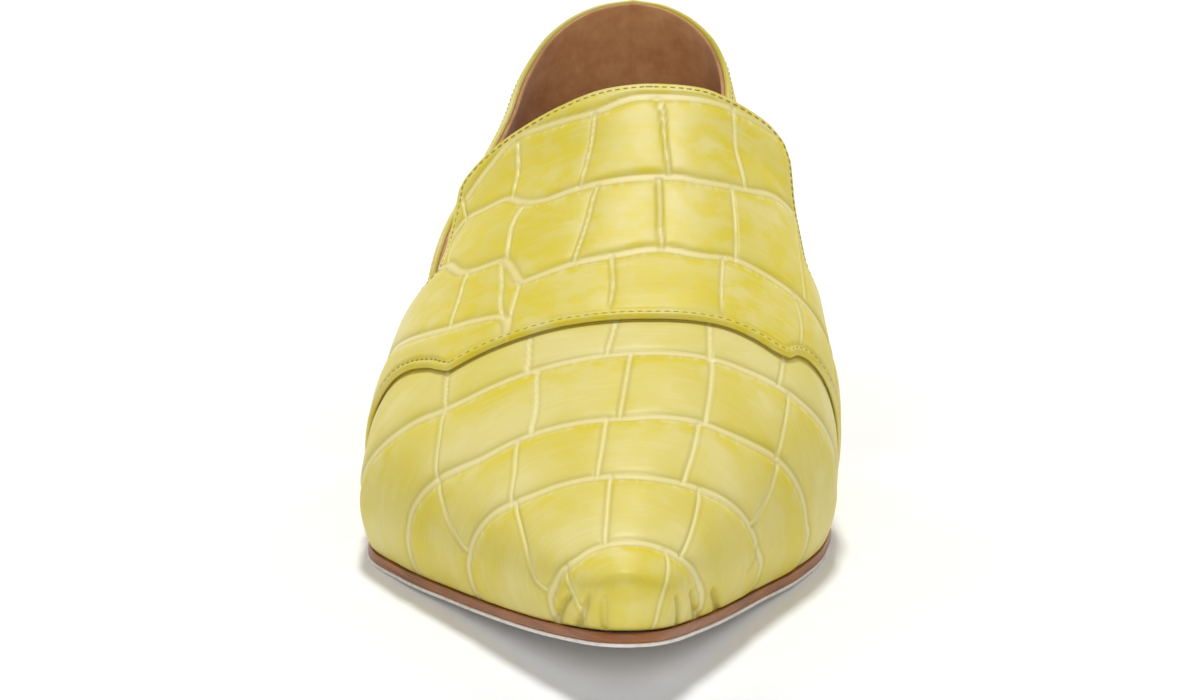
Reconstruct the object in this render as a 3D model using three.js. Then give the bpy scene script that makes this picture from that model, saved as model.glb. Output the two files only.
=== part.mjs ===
// Right dorsay flat: a pointed slip-on whose upper is cut low at both sides, with a saddle and a tall
// tongue across the instep, a thin two-layer sole and a low stacked heel.
// Millimetres. The toe points to -Y, +X is the inner side of the foot and +Z is up.
import * as THREE from 'three';
import { mergeVertices } from 'three/addons/utils/BufferGeometryUtils.js';

// Driving sizes of the last
const shoeLength = 260;
const ballWidth = 84;
const instepHeight = 69;
const heelCupHeight = 59;
const heelRaise = 13;
const toeSpring = 8.2;
const toeOverhang = 1.5;
const sideStripHeight = 6;

// Thicknesses
const upperWall = 2.2;
const saddleThickness = 1.3;
const insoleThickness = 2;
const stripThickness = 1.7;
const outsoleThickness = 1.2;
const liftThickness = 3.8;

// Margins and clearances
const gap = 0.3;
const soleMargin = 1;
const heelTaper = 1.6;
const heelSeatLength = 54;

// Places along the length: the end of the empty point, the end of the last's rolled nose, where the sole
// leaves the floor at the toe, where its waist rises to the seat, and the back end of the side gaps
const insoleFront = 0.04 * shoeLength;
const noseEnd = 0.1 * shoeLength;
const treadFront = 0.3 * shoeLength;
const waistFront = 0.415 * shoeLength;
const waistBack = 0.79 * shoeLength;
const gapEnd = 0.645 * shoeLength;
const heelTurn = 32;
const seatStart = shoeLength - heelSeatLength;
const heelCentre = shoeLength - heelTurn;

// The last, one row for each section. at is a share of the length. outer and inner are the widest half
// breadths on each side of the heel-toe line, outerFoot and innerFoot those at the sole and ridge the
// sideways place of the highest line, all shares of the ball width. rise, the height of the ridge above
// the sole, and belly, that of the widest line, are shares of the instep height. roundOuter and
// roundInner are the powers of the superellipse between the widest line and the ridge.
const last = rows(
  ['at', 'outer', 'inner', 'outerFoot', 'innerFoot', 'ridge', 'rise', 'belly', 'roundOuter', 'roundInner'],
  [
    [0, 0.014, -0.014, 0.014, -0.014, -0.014, 0.091, 0.058, 2, 2],
    [0.012, 0.081, 0.055, 0.067, 0.039, -0.014, 0.129, 0.065, 2.1, 2.1],
    [0.031, 0.124, 0.088, 0.1, 0.067, -0.012, 0.165, 0.072, 2.1, 2.1],
    [0.062, 0.179, 0.131, 0.151, 0.101, -0.006, 0.222, 0.08, 2.1, 2.1],
    [0.112, 0.262, 0.198, 0.229, 0.16, 0.007, 0.313, 0.087, 2, 2.1],
    [0.177, 0.371, 0.281, 0.333, 0.238, 0.024, 0.41, 0.094, 1.95, 2.2],
    [0.242, 0.479, 0.369, 0.445, 0.331, 0.036, 0.501, 0.101, 1.95, 2.3],
    [0.3, 0.543, 0.42, 0.517, 0.39, 0.042, 0.572, 0.109, 2, 2.45],
    [0.346, 0.54, 0.43, 0.52, 0.409, 0.045, 0.638, 0.116, 2.1, 2.6],
    [0.404, 0.515, 0.417, 0.497, 0.394, 0.048, 0.75, 0.138, 2.15, 2.85],
    [0.462, 0.5, 0.406, 0.463, 0.369, 0.048, 0.87, 0.174, 1.95, 2.8],
    [0.515, 0.488, 0.392, 0.43, 0.321, 0.045, 0.965, 0.203, 2.15, 3.6],
    [0.635, 0.457, 0.362, 0.369, 0.25, 0.036, 1.164, 0.232, 1.8, 2.1],
    [0.731, 0.42, 0.352, 0.34, 0.271, 0.019, 1.178, 0.232, 1.6, 1.8],
    [0.877, 0.362, 0.346, 0.321, 0.322, 0.004, 1.094, 0.203, 1.4, 1.4],
    [0.938, 0.349, 0.389, 0.313, 0.346, 0.02, 1.225, 0.203, 1.8, 1.8],
    [1, 0.349, 0.411, 0.307, 0.369, 0.031, 1.239, 0.203, 2, 2],
  ],
);

// The top edge of the upper behind the throat. at is a share of the length, and height a share of the
// heel cup's height above the side strip.
const topLine = rows(
  ['at', 'height'],
  [
    [0.4, 0.9],
    [0.408, 0.72],
    [0.414, 0.6],
    [0.42, 0.52],
    [0.428, 0.455],
    [0.44, 0.375],
    [0.46, 0.285],
    [0.49, 0.18],
    [0.515, 0.1],
    [0.54, 0.03],
    [0.565, 0],
    [0.592, 0.03],
    [0.62, 0.145],
    [0.645, 0.254],
    [0.69, 0.332],
    [0.75, 0.363],
    [0.81, 0.446],
    [0.845, 0.53],
    [0.877, 0.61],
    [0.918, 0.765],
    [0.938, 0.87],
    [0.959, 0.945],
    [0.98, 0.985],
    [1, 1],
  ],
);

// The saddle, one row for each place down a side from the ridge to the sole. turn is the place, 1 at the
// ridge, 0 at the widest line and -1 at the sole. frontOuter, backOuter, frontInner and backInner are its
// front and back edges on each side, as shares of the length.
const saddleEdges = rows(
  ['turn', 'frontOuter', 'backOuter', 'frontInner', 'backInner'],
  [
    [1, 0.288, 0.517, 0.288, 0.517],
    [0.9, 0.2885, 0.5145, 0.2885, 0.514],
    [0.8, 0.289, 0.5095, 0.289, 0.509],
    [0.7, 0.288, 0.506, 0.288, 0.507],
    [0.6, 0.287, 0.5045, 0.287, 0.508],
    [0.52, 0.286, 0.502, 0.292, 0.508],
    [0.48, 0.297, 0.497, 0.304, 0.504],
    [0.46, 0.305, 0.481, 0.308, 0.501],
    [0.44, 0.311, 0.464, 0.311, 0.488],
    [0.43, 0.314, 0.425, 0.3125, 0.479],
    [0.415, 0.318, 0.4265, 0.3145, 0.467],
    [0.39, 0.3245, 0.4285, 0.317, 0.424],
    [0.3, 0.341, 0.438, 0.325, 0.432],
    [0.2, 0.35, 0.455, 0.333, 0.443],
    [0.1, 0.357, 0.479, 0.34, 0.463],
    [0.05, 0.359, 0.492, 0.343, 0.48],
    [0, 0.361, 0.508, 0.346, 0.508],
    [-0.2, 0.367, 0.527, 0.353, 0.527],
    [-0.5, 0.373, 0.552, 0.362, 0.552],
    [-0.8, 0.378, 0.569, 0.368, 0.569],
    [-1, 0.38, 0.576, 0.37, 0.576],
  ],
);

// Fineness of the faceted skins
const vampCells = 20;
const flankCells = 16;
const quarterCells = 18;
const sideCells = 13;
const saddleCells = 8;
const soleCells = 56;
const heelCells = 20;
const tuckTurn = Math.PI / 3;
const noseCrowding = 1.7;
const meltDistance = 1e-4;
const meeting = 1e-6;

// Steps over which slopes are taken, along the length as nearby's root share, and down a side
const normalStep = 0.0025;
const outlineStep = 0.0125;
const placeStep = 0.01;

function rows(names, values) {
  return values.map((row) => Object.fromEntries(names.map((name, i) => [name, row[i]])));
}

// Monotone cubic through one column of a table. The key is warped by warp before it is used, so that a
// square root lets the nose of the last close in a round end.
function follow(table, key, column, at, warp = (value) => value) {
  const x = table.map((row) => warp(row[key]));
  const y = table.map((row) => row[column]);
  const here = THREE.MathUtils.clamp(warp(at), Math.min(x[0], x.at(-1)), Math.max(x[0], x.at(-1)));
  const rising = x.at(-1) > x[0];
  let i = x.findIndex((value) => (rising ? value > here : value < here)) - 1;
  if (i < 0) i = x.length - 2;
  const step = (k) => (y[k + 1] - y[k]) / (x[k + 1] - x[k]);
  const slope = (k) => {
    if (k === 0) return step(0);
    if (k === x.length - 1) return step(k - 1);
    const before = step(k - 1);
    const after = step(k);
    return before * after <= 0 ? 0 : (2 * before * after) / (before + after);
  };
  const width = x[i + 1] - x[i];
  const t = (here - x[i]) / width;
  const rest = 1 - t;
  return (
    y[i] * rest * rest * (1 + 2 * t) +
    y[i + 1] * t * t * (3 - 2 * t) +
    slope(i) * width * t * rest * rest -
    slope(i + 1) * width * t * t * rest
  );
}

const lastAt = (column, s) => follow(last, 'at', column, s / shoeLength, Math.sqrt);

// Height of the sole's underside at a distance from the toe: toe spring, flat tread, waist and seat.
function underside(y) {
  const toe = THREE.MathUtils.clamp((treadFront - y) / treadFront, 0, 1);
  return toeSpring * toe * toe + heelRaise * THREE.MathUtils.smoothstep(y, waistFront, waistBack);
}

const soleThickness = outsoleThickness + gap + stripThickness + gap;
const featherHeight = (y) => underside(y) + soleThickness;

// One section plane of the last. In front it stands across the length, and behind the heel's centre the
// planes turn about that centre as a fan.
function section(s, side) {
  const breadth = (column) => lastAt(column, s) * ballWidth;
  const y = Math.min(s, heelCentre);
  const ridge = breadth('ridge');
  const outside = side < 0;
  const widest = outside ? breadth('outer') + ridge : breadth('inner') - ridge;
  const foot = outside ? breadth('outerFoot') + ridge : breadth('innerFoot') - ridge;
  return {
    y,
    ridge,
    widest,
    foot,
    side,
    turn: (Math.max(0, s - heelCentre) / heelTurn) * (Math.PI / 2),
    feather: featherHeight(y),
    belly: lastAt('belly', s) * instepHeight,
    rise: lastAt('rise', s) * instepHeight,
    power: lastAt(outside ? 'roundOuter' : 'roundInner', s),
    nose: toeOverhang * Math.max(0, 1 - s / noseEnd) ** 2,
  };
}

// Point of the last. place runs from -1 at the sole through 0 at the widest line to 1 at the ridge. Under
// the widest line the section is a quarter ellipse that tucks in to the sole, above it a superellipse.
function lastPoint(s, side, place) {
  const form = section(s, side);
  let breadth;
  let height;
  let tuck = 0;
  if (place < 0) {
    const angle = -place * tuckTurn;
    tuck = (1 - Math.cos(angle)) / (1 - Math.cos(tuckTurn));
    breadth = form.widest - (form.widest - form.foot) * tuck;
    height = form.belly * (1 - Math.sin(angle) / Math.sin(tuckTurn));
  } else {
    const angle = (place * Math.PI) / 2;
    breadth = form.widest * Math.max(0, Math.cos(angle)) ** (2 / form.power);
    height = form.belly + (form.rise - form.belly) * Math.sin(angle) ** (2 / form.power);
  }
  return new THREE.Vector3(
    form.ridge + form.side * Math.cos(form.turn) * breadth,
    form.y + Math.sin(form.turn) * breadth + form.nose * tuck,
    form.feather + height,
  );
}

// The place of lastPoint at a height above the sole.
function placeAtHeight(s, side, height) {
  const form = section(s, side);
  if (height < form.belly) {
    return -Math.asin((1 - height / form.belly) * Math.sin(tuckTurn)) / tuckTurn;
  }
  const share = Math.min(1, (height - form.belly) / (form.rise - form.belly));
  return Math.asin(share ** (form.power / 2)) / (Math.PI / 2);
}

// Closed mesh from quads and triangles of points: shared points are merged and empty faces dropped.
class Skin {
  constructor() {
    this.positions = [];
  }

  triangle(a, b, c) {
    if (a.distanceTo(b) < meltDistance || b.distanceTo(c) < meltDistance || c.distanceTo(a) < meltDistance) {
      return;
    }
    this.positions.push(...a, ...b, ...c);
  }

  quad(a, b, c, d) {
    this.triangle(a, b, c);
    this.triangle(a, c, d);
  }

  geometry() {
    const loose = new THREE.BufferGeometry();
    loose.setAttribute('position', new THREE.Float32BufferAttribute(this.positions, 3));
    return mergeVertices(loose, meltDistance);
  }
}

// A place along the length near s, a step away in the square root of its share, as the table is warped.
function nearby(s, step) {
  const root = THREE.MathUtils.clamp(Math.sqrt(Math.max(s, 0) / shoeLength) + step, 0, 1);
  return shoeLength * root * root;
}

// Outward normal of the last, from its neighbours along and across. It keeps just short of the ridge, where
// the superellipse has no slope of its own.
function outwardNormal(s, side, place) {
  const middle = THREE.MathUtils.clamp(place, placeStep - 1, 1 - 2 * placeStep);
  const along = lastPoint(nearby(s, normalStep), side, middle);
  along.sub(lastPoint(nearby(s, -normalStep), side, middle));
  const across = lastPoint(s, side, middle + placeStep);
  across.sub(lastPoint(s, side, middle - placeStep));
  return along.cross(across).multiplyScalar(side).normalize();
}

// A point of the last moved out from it, no lower than the feather line. Where the two sides meet, at the
// ridge, the nose and the back of the heel, they share one normal in the middle plane.
function raised(s, side, place, distance) {
  const normal = outwardNormal(s, side, place);
  if (place > 1 - meeting || s < meeting || s > shoeLength - meeting) {
    normal.add(outwardNormal(s, -side, place));
    normal.x = 0;
    normal.normalize();
  }
  const point = lastPoint(s, side, place);
  const feather = point.z;
  point.addScaledVector(normal, distance);
  point.z = place < meeting - 1 ? feather : Math.max(point.z, featherHeight(point.y));
  return point;
}

function upper() {
  const throat = topLine[0].at * shoeLength;
  const columns = [];
  for (let i = 0; i <= vampCells; i += 1) columns.push(throat * (i / vampCells) ** noseCrowding);
  for (let i = 1; i <= flankCells; i += 1) columns.push(throat + ((gapEnd - throat) * i) / flankCells);
  for (let i = 1; i <= quarterCells; i += 1) {
    columns.push(gapEnd + ((shoeLength - gapEnd) * i) / quarterCells);
  }
  const topPlace = (s, side) => {
    if (s < throat + meeting) return 1;
    const height = follow(topLine, 'at', 'height', s / shoeLength);
    return placeAtHeight(s, side, sideStripHeight + height * (heelCupHeight - sideStripHeight));
  };
  const skin = new Skin();
  for (const side of [-1, 1]) {
    const column = (s, inset) => {
      const points = [];
      for (let j = 0; j <= sideCells; j += 1) {
        const place = -1 + ((topPlace(s, side) + 1) * j) / sideCells;
        points.push(raised(s, side, place, -inset));
      }
      return points;
    };
    const outside = columns.map((s) => column(s, 0));
    const inside = columns.map((s) => column(s, upperWall));
    const quad = side < 0
      ? (a, b, c, d) => skin.quad(a, b, c, d)
      : (a, b, c, d) => skin.quad(d, c, b, a);
    for (let i = 0; i < columns.length - 1; i += 1) {
      for (let j = 0; j < sideCells; j += 1) {
        quad(outside[i][j], outside[i][j + 1], outside[i + 1][j + 1], outside[i + 1][j]);
        quad(inside[i][j], inside[i + 1][j], inside[i + 1][j + 1], inside[i][j + 1]);
      }
      quad(outside[i][0], outside[i + 1][0], inside[i + 1][0], inside[i][0]);
      if (i >= vampCells) {
        const j = sideCells;
        quad(outside[i][j], inside[i][j], inside[i + 1][j], outside[i + 1][j]);
      }
    }
  }
  return skin.geometry();
}

function saddle() {
  const skin = new Skin();
  for (const side of [-1, 1]) {
    const name = side < 0 ? 'Outer' : 'Inner';
    const line = (place, distance) => {
      const front = follow(saddleEdges, 'turn', `front${name}`, place) * shoeLength;
      const back = follow(saddleEdges, 'turn', `back${name}`, place) * shoeLength;
      const points = [];
      for (let j = 0; j <= saddleCells; j += 1) {
        points.push(raised(front + ((back - front) * j) / saddleCells, side, place, distance));
      }
      return points;
    };
    const places = [-1];
    for (let i = saddleEdges.length - 1; i > 0; i -= 1) {
      const low = saddleEdges[i].turn;
      const high = saddleEdges[i - 1].turn;
      const cells = Math.ceil((high - low) * sideCells);
      for (let k = 1; k <= cells; k += 1) places.push(low + ((high - low) * k) / cells);
    }
    const top = places.map((place) => line(place, gap + saddleThickness));
    const under = places.map((place) => line(place, gap));
    const quad = side < 0
      ? (a, b, c, d) => skin.quad(a, b, c, d)
      : (a, b, c, d) => skin.quad(d, c, b, a);
    const end = saddleCells;
    for (let i = 0; i < places.length - 1; i += 1) {
      for (let j = 0; j < end; j += 1) {
        quad(top[i][j], top[i + 1][j], top[i + 1][j + 1], top[i][j + 1]);
        quad(under[i][j], under[i][j + 1], under[i + 1][j + 1], under[i + 1][j]);
      }
      quad(top[i][0], under[i][0], under[i + 1][0], top[i + 1][0]);
      quad(top[i][end], top[i + 1][end], under[i + 1][end], under[i][end]);
    }
    for (let j = 0; j < end; j += 1) quad(top[0][j], top[0][j + 1], under[0][j + 1], under[0][j]);
  }
  return skin.geometry();
}

// Point of the sole's outline, moved out from the feather line in plan.
function outline(s, side, margin) {
  const along = lastPoint(nearby(s, outlineStep), side, -1);
  along.sub(lastPoint(nearby(s, -outlineStep), side, -1));
  const normal = new THREE.Vector3(side * along.y, -side * along.x, 0);
  if (s < meeting || s > shoeLength - meeting) normal.x = 0;
  return lastPoint(s, side, -1).addScaledVector(normal.normalize(), margin);
}

// A plate that follows the sole between two heights, from a start to an end along the length.
function plate({ start, end, cells, topMargin, bottomMargin, top, bottom }) {
  const skin = new Skin();
  const ring = (s) => {
    const corner = (side, margin, height) => {
      const point = outline(s, side, margin);
      point.z = height(point.y);
      return point;
    };
    return [
      corner(-1, bottomMargin, bottom),
      corner(-1, topMargin, top),
      corner(1, topMargin, top),
      corner(1, bottomMargin, bottom),
    ];
  };
  const rings = [];
  for (let i = 0; i <= cells; i += 1) {
    const root = Math.sqrt(start) + ((Math.sqrt(end) - Math.sqrt(start)) * i) / cells;
    rings.push(ring(root ** 2));
  }
  for (let i = 0; i < cells; i += 1) {
    for (let k = 0; k < 4; k += 1) {
      const next = (k + 1) % 4;
      skin.quad(rings[i][k], rings[i][next], rings[i + 1][next], rings[i + 1][k]);
    }
  }
  skin.quad(...rings[0].toReversed());
  skin.quad(...rings[cells]);
  return skin.geometry();
}

function outsole() {
  return plate({
    start: 0,
    end: shoeLength,
    cells: soleCells,
    topMargin: soleMargin,
    bottomMargin: soleMargin,
    top: (y) => underside(y) + outsoleThickness,
    bottom: underside,
  });
}

function edgeStrip() {
  return plate({
    start: 0,
    end: shoeLength,
    cells: soleCells,
    topMargin: soleMargin,
    bottomMargin: soleMargin,
    top: (y) => underside(y) + outsoleThickness + gap + stripThickness,
    bottom: (y) => underside(y) + outsoleThickness + gap,
  });
}

function insole() {
  const insideWall = -(upperWall + 2 * gap);
  return plate({
    start: insoleFront,
    end: shoeLength,
    cells: soleCells,
    topMargin: insideWall,
    bottomMargin: insideWall,
    top: (y) => featherHeight(y) + insoleThickness,
    bottom: featherHeight,
  });
}

function heelStack() {
  return plate({
    start: seatStart,
    end: shoeLength,
    cells: heelCells,
    topMargin: soleMargin,
    bottomMargin: soleMargin - heelTaper,
    top: () => heelRaise - gap,
    bottom: () => liftThickness + gap,
  });
}

function heelLift() {
  return plate({
    start: seatStart,
    end: shoeLength,
    cells: heelCells,
    topMargin: soleMargin - heelTaper,
    bottomMargin: soleMargin - heelTaper,
    top: () => liftThickness,
    bottom: () => 0,
  });
}

const finish = (color, roughness) => new THREE.MeshStandardMaterial({ color, roughness, metalness: 0 });

const shoe = new THREE.Group();
for (const [name, geometry, material] of [
  ['upper', upper(), finish('#ddd470', 0.42)],
  ['saddle', saddle(), finish('#e0d880', 0.42)],
  ['insole', insole(), finish('#8a5a38', 0.8)],
  ['edge_strip', edgeStrip(), finish('#a0603a', 0.6)],
  ['outsole', outsole(), finish('#e8e0d8', 0.7)],
  ['heel_stack', heelStack(), finish('#a0603a', 0.55)],
  ['heel_lift', heelLift(), finish('#3a2e26', 0.75)],
]) {
  const mesh = new THREE.Mesh(geometry, material);
  mesh.name = name;
  shoe.add(mesh);
}

// The origin is the middle of the shoe's box, on the floor.
const box = new THREE.Box3().setFromObject(shoe);
const centre = box.getCenter(new THREE.Vector3());
shoe.position.set(-centre.x, -centre.y, -box.min.z);

export default shoe;
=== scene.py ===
"""Right dorsay flat of pale yellow crocodile-embossed calf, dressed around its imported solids.

Shapes are worked out in millimetres in the last's own frame: x from the heel-toe line towards the inner
side of the foot, y from the nose to the heel and z up from the floor. placed() brings them to the part's
frame, in metres.
"""

import math

import bmesh
import bpy
import numpy as np
from bpy.props import FloatProperty, FloatVectorProperty, PointerProperty
from bpy.types import Operator, Panel, PropertyGroup
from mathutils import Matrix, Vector


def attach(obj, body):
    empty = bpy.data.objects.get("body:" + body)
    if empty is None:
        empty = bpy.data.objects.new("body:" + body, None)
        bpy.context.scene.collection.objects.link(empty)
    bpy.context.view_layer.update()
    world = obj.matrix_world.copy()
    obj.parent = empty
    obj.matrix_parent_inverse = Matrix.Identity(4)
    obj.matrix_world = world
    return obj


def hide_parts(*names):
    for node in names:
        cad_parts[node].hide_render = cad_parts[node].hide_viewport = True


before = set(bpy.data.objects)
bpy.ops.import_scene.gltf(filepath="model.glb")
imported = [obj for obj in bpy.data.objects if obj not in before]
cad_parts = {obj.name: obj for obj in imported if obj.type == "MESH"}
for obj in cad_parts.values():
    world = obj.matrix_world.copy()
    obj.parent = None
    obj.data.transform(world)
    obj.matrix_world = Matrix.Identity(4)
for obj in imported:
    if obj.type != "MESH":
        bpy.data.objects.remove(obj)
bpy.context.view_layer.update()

bl_info = {
    "name": "Dorsay Flat",
    "version": (1, 0, 0),
    "blender": (4, 5, 0),
    "location": "View3D > Sidebar > Dorsay Flat",
    "description": "Leathers, linings, stitches, sole and heel of a pointed flat, around its fixed solids",
    "category": "Add Mesh",
}

MM = 0.001

# Sizes of the last and the sole, as in the part
LENGTH = 260.0
BALL = 84.0
INSTEP = 69.0
CUP = 59.0
HEEL_RAISE = 13.0
TOE_SPRING = 8.2
TOE_OVERHANG = 1.5
NOSE_END = 0.1 * LENGTH
SIDE_STRIP = 6.0
WALL = 2.2
SADDLE = 1.3
GAP = 0.3
STRIP = 1.7
OUTSOLE = 1.2
LIFT = 3.8
SOCK = 2.0
SOLE_MARGIN = 1.0
HEEL_TAPER = 1.6
TREAD_FRONT = 0.3 * LENGTH
WAIST_FRONT = 0.415 * LENGTH
WAIST_BACK = 0.79 * LENGTH
THROAT = 0.4 * LENGTH
HEEL_TURN = 32.0
HEEL_CENTRE = LENGTH - HEEL_TURN
HEEL_FRONT = LENGTH - 54.0
SOLE = OUTSOLE + GAP + STRIP + GAP
# What is seen of the sole: a thin bone layer, a waxed edge over it and the upper drawn down on that
BONE_EDGE = 0.62
SEEN_SOLE = 2.2
TUCK = math.pi / 3

# Thickness of the calf, and the lining's two faces under the last's surface
CALF = 1.3
LINING_OUT = 1.34
LINING_IN = 2.15
LINING_START = 7.0
# The quarter's scales: height of a row and length of a scale
SCALE_ROW = 13.0
SCALE_LENGTH = 15.0
# The flat chart: rough distances from the ridge to the widest line, and from there to the sole
CHART_UPPER = 50
CHART_LOWER = 10

# The last, one row for each section: its place as a share of the length, half breadths at the widest line
# and at the sole, the ridge's sideways place, the ridge's and the widest line's heights, and the powers of
# the superellipse on each side. Breadths are shares of the ball width and heights of the instep height.
LAST_COLUMNS = ("at", "outer", "inner", "outer_foot", "inner_foot", "ridge", "rise", "belly",
                "round_outer", "round_inner")
LAST = dict(zip(LAST_COLUMNS, np.array([
    [0, 0.014, -0.014, 0.014, -0.014, -0.014, 0.091, 0.058, 2, 2],
    [0.012, 0.081, 0.055, 0.067, 0.039, -0.014, 0.129, 0.065, 2.1, 2.1],
    [0.031, 0.124, 0.088, 0.1, 0.067, -0.012, 0.165, 0.072, 2.1, 2.1],
    [0.062, 0.179, 0.131, 0.151, 0.101, -0.006, 0.222, 0.08, 2.1, 2.1],
    [0.112, 0.262, 0.198, 0.229, 0.16, 0.007, 0.313, 0.087, 2, 2.1],
    [0.177, 0.371, 0.281, 0.333, 0.238, 0.024, 0.41, 0.094, 1.95, 2.2],
    [0.242, 0.479, 0.369, 0.445, 0.331, 0.036, 0.501, 0.101, 1.95, 2.3],
    [0.3, 0.543, 0.42, 0.517, 0.39, 0.042, 0.572, 0.109, 2, 2.45],
    [0.346, 0.54, 0.43, 0.52, 0.409, 0.045, 0.638, 0.116, 2.1, 2.6],
    [0.404, 0.515, 0.417, 0.497, 0.394, 0.048, 0.75, 0.138, 2.15, 2.85],
    [0.462, 0.5, 0.406, 0.463, 0.369, 0.048, 0.87, 0.174, 1.95, 2.8],
    [0.515, 0.488, 0.392, 0.43, 0.321, 0.045, 0.965, 0.203, 2.15, 3.6],
    [0.635, 0.457, 0.362, 0.369, 0.25, 0.036, 1.164, 0.232, 1.8, 2.1],
    [0.731, 0.42, 0.352, 0.34, 0.271, 0.019, 1.178, 0.232, 1.6, 1.8],
    [0.877, 0.362, 0.346, 0.321, 0.322, 0.004, 1.094, 0.203, 1.4, 1.4],
    [0.938, 0.349, 0.389, 0.313, 0.346, 0.02, 1.225, 0.203, 1.8, 1.8],
    [1, 0.349, 0.411, 0.307, 0.369, 0.031, 1.239, 0.203, 2, 2],
]).T))

# The top edge of the upper behind the throat: share of the length, share of the heel cup's height
TOP_LINE = np.array([
    [0.4, 0.9], [0.408, 0.72], [0.414, 0.6], [0.42, 0.52], [0.428, 0.455], [0.44, 0.375], [0.46, 0.285],
    [0.49, 0.18], [0.515, 0.1], [0.54, 0.03], [0.565, 0], [0.592, 0.03], [0.62, 0.145], [0.645, 0.254],
    [0.69, 0.332], [0.75, 0.363], [0.81, 0.446], [0.845, 0.53], [0.877, 0.61], [0.918, 0.765],
    [0.938, 0.87], [0.959, 0.945], [0.98, 0.985], [1, 1],
])

# The saddle's edges down each side: place, then front and back edge on the outer and on the inner side
SADDLE_COLUMNS = ("turn", "front_outer", "back_outer", "front_inner", "back_inner")
SADDLE_EDGES = dict(zip(SADDLE_COLUMNS, np.array([
    [1, 0.288, 0.517, 0.288, 0.517],
    [0.9, 0.2885, 0.5145, 0.2885, 0.514],
    [0.8, 0.289, 0.5095, 0.289, 0.509],
    [0.7, 0.288, 0.506, 0.288, 0.507],
    [0.6, 0.287, 0.5045, 0.287, 0.508],
    [0.52, 0.286, 0.502, 0.292, 0.508],
    [0.48, 0.297, 0.497, 0.304, 0.504],
    [0.46, 0.305, 0.481, 0.308, 0.501],
    [0.44, 0.311, 0.464, 0.311, 0.488],
    [0.43, 0.314, 0.425, 0.3125, 0.479],
    [0.415, 0.318, 0.4265, 0.3145, 0.467],
    [0.39, 0.3245, 0.4285, 0.317, 0.424],
    [0.3, 0.341, 0.438, 0.325, 0.432],
    [0.2, 0.35, 0.455, 0.333, 0.443],
    [0.1, 0.357, 0.479, 0.34, 0.463],
    [0.05, 0.359, 0.492, 0.343, 0.48],
    [0, 0.361, 0.508, 0.346, 0.508],
    [-0.2, 0.367, 0.527, 0.353, 0.527],
    [-0.5, 0.373, 0.552, 0.362, 0.552],
    [-0.8, 0.378, 0.569, 0.368, 0.569],
    [-1, 0.38, 0.576, 0.37, 0.576],
])[::-1].T))

# The grain, charted on the last: each point is (turn, share of the length). turn is 0 on the ridge, -1 and
# 1 on the widest line of the outer and the inner side and -2 and 2 at the sole.
# Broad creases that run across the vamp
VAMP_BANDS = (
    ((-2, 0.052), (-1.38, 0.048), (-0.93, 0.039), (-0.57, 0.033), (-0.38, 0.034), (-0.06, 0.036),
     (0.3, 0.037), (0.5, 0.039), (0.75, 0.044), (0.97, 0.052), (1.65, 0.07), (2, 0.074)),
    ((-2, 0.148), (-1.27, 0.141), (-0.96, 0.137), (-0.75, 0.13), (-0.63, 0.122), (-0.51, 0.114),
     (-0.35, 0.109), (-0.13, 0.105), (0.06, 0.103), (0.22, 0.104), (0.41, 0.11), (0.58, 0.12),
     (0.75, 0.132), (0.88, 0.14), (0.99, 0.1465), (1.15, 0.152), (1.4, 0.158), (2, 0.167)),
    ((-2, 0.222), (-1.05, 0.213), (-0.87, 0.209), (-0.73, 0.199), (-0.65, 0.19), (-0.55, 0.181),
     (-0.37, 0.177), (-0.08, 0.171), (0.02, 0.172), (0.29, 0.177), (0.42, 0.181), (0.55, 0.19),
     (0.68, 0.203), (0.81, 0.214), (0.93, 0.222), (1.07, 0.227), (1.3, 0.231), (2, 0.238)),
    ((-2, 0.318), (-1.3, 0.31), (-1.08, 0.305), (-0.945, 0.296), (-0.84, 0.284), (-0.73, 0.272),
     (-0.64, 0.263), (-0.55, 0.252),
     (-0.42, 0.247), (-0.06, 0.248), (0.24, 0.25), (0.36, 0.252), (0.51, 0.26), (0.65, 0.271),
     (0.81, 0.289), (0.9, 0.303), (0.99, 0.316), (1.12, 0.325), (1.4, 0.331), (2, 0.34)),
)
# Fine grooves between them
VAMP_GROOVES = (
    ((-0.487, 0.29), (-0.516, 0.27), (-0.549, 0.253)), ((-0.272, 0.287), (-0.286, 0.267), (-0.305, 0.248)),
    ((-0.072, 0.292), (-0.086, 0.272), (-0.105, 0.248)), ((0.158, 0.292), (0.177, 0.269), (0.196, 0.248)),
    ((0.46, 0.3), (0.473, 0.279), (0.492, 0.26)), ((-0.558, 0.251), (-0.625, 0.227), (-0.735, 0.201)),
    ((-0.28, 0.246), (-0.315, 0.206), (-0.368, 0.178)), ((-0.045, 0.247), (-0.062, 0.204), (-0.078, 0.172)),
    ((0.205, 0.249), (0.239, 0.213), (0.277, 0.177)), ((0.549, 0.262), (0.611, 0.227), (0.673, 0.202)),
    ((-0.735, 0.199), (-0.845, 0.172), (-0.97, 0.142)), ((-0.42, 0.177), (-0.506, 0.144), (-0.62, 0.12)),
    ((-0.12, 0.172), (-0.143, 0.136), (-0.172, 0.107)), ((0.25, 0.175), (0.286, 0.138), (0.305, 0.107)),
    ((0.69, 0.203), (0.768, 0.177), (0.84, 0.14)), ((-0.585, 0.12), (-0.687, 0.092), (-0.835, 0.072),
     (-1.2, 0.05)), ((-0.11, 0.105), (-0.138, 0.065), (-0.19, 0.037)), ((0.42, 0.111), (0.482, 0.09),
     (0.554, 0.066), (0.62, 0.043)), ((0.95, 0.146), (1.0, 0.139), (1.21, 0.13)),
    ((-0.7, 0.036), (-1.084, 0.022), (-1.82, 0.019)), ((0.42, 0.038), (0.874, 0.012), (1.96, 0.009)),
)
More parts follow.
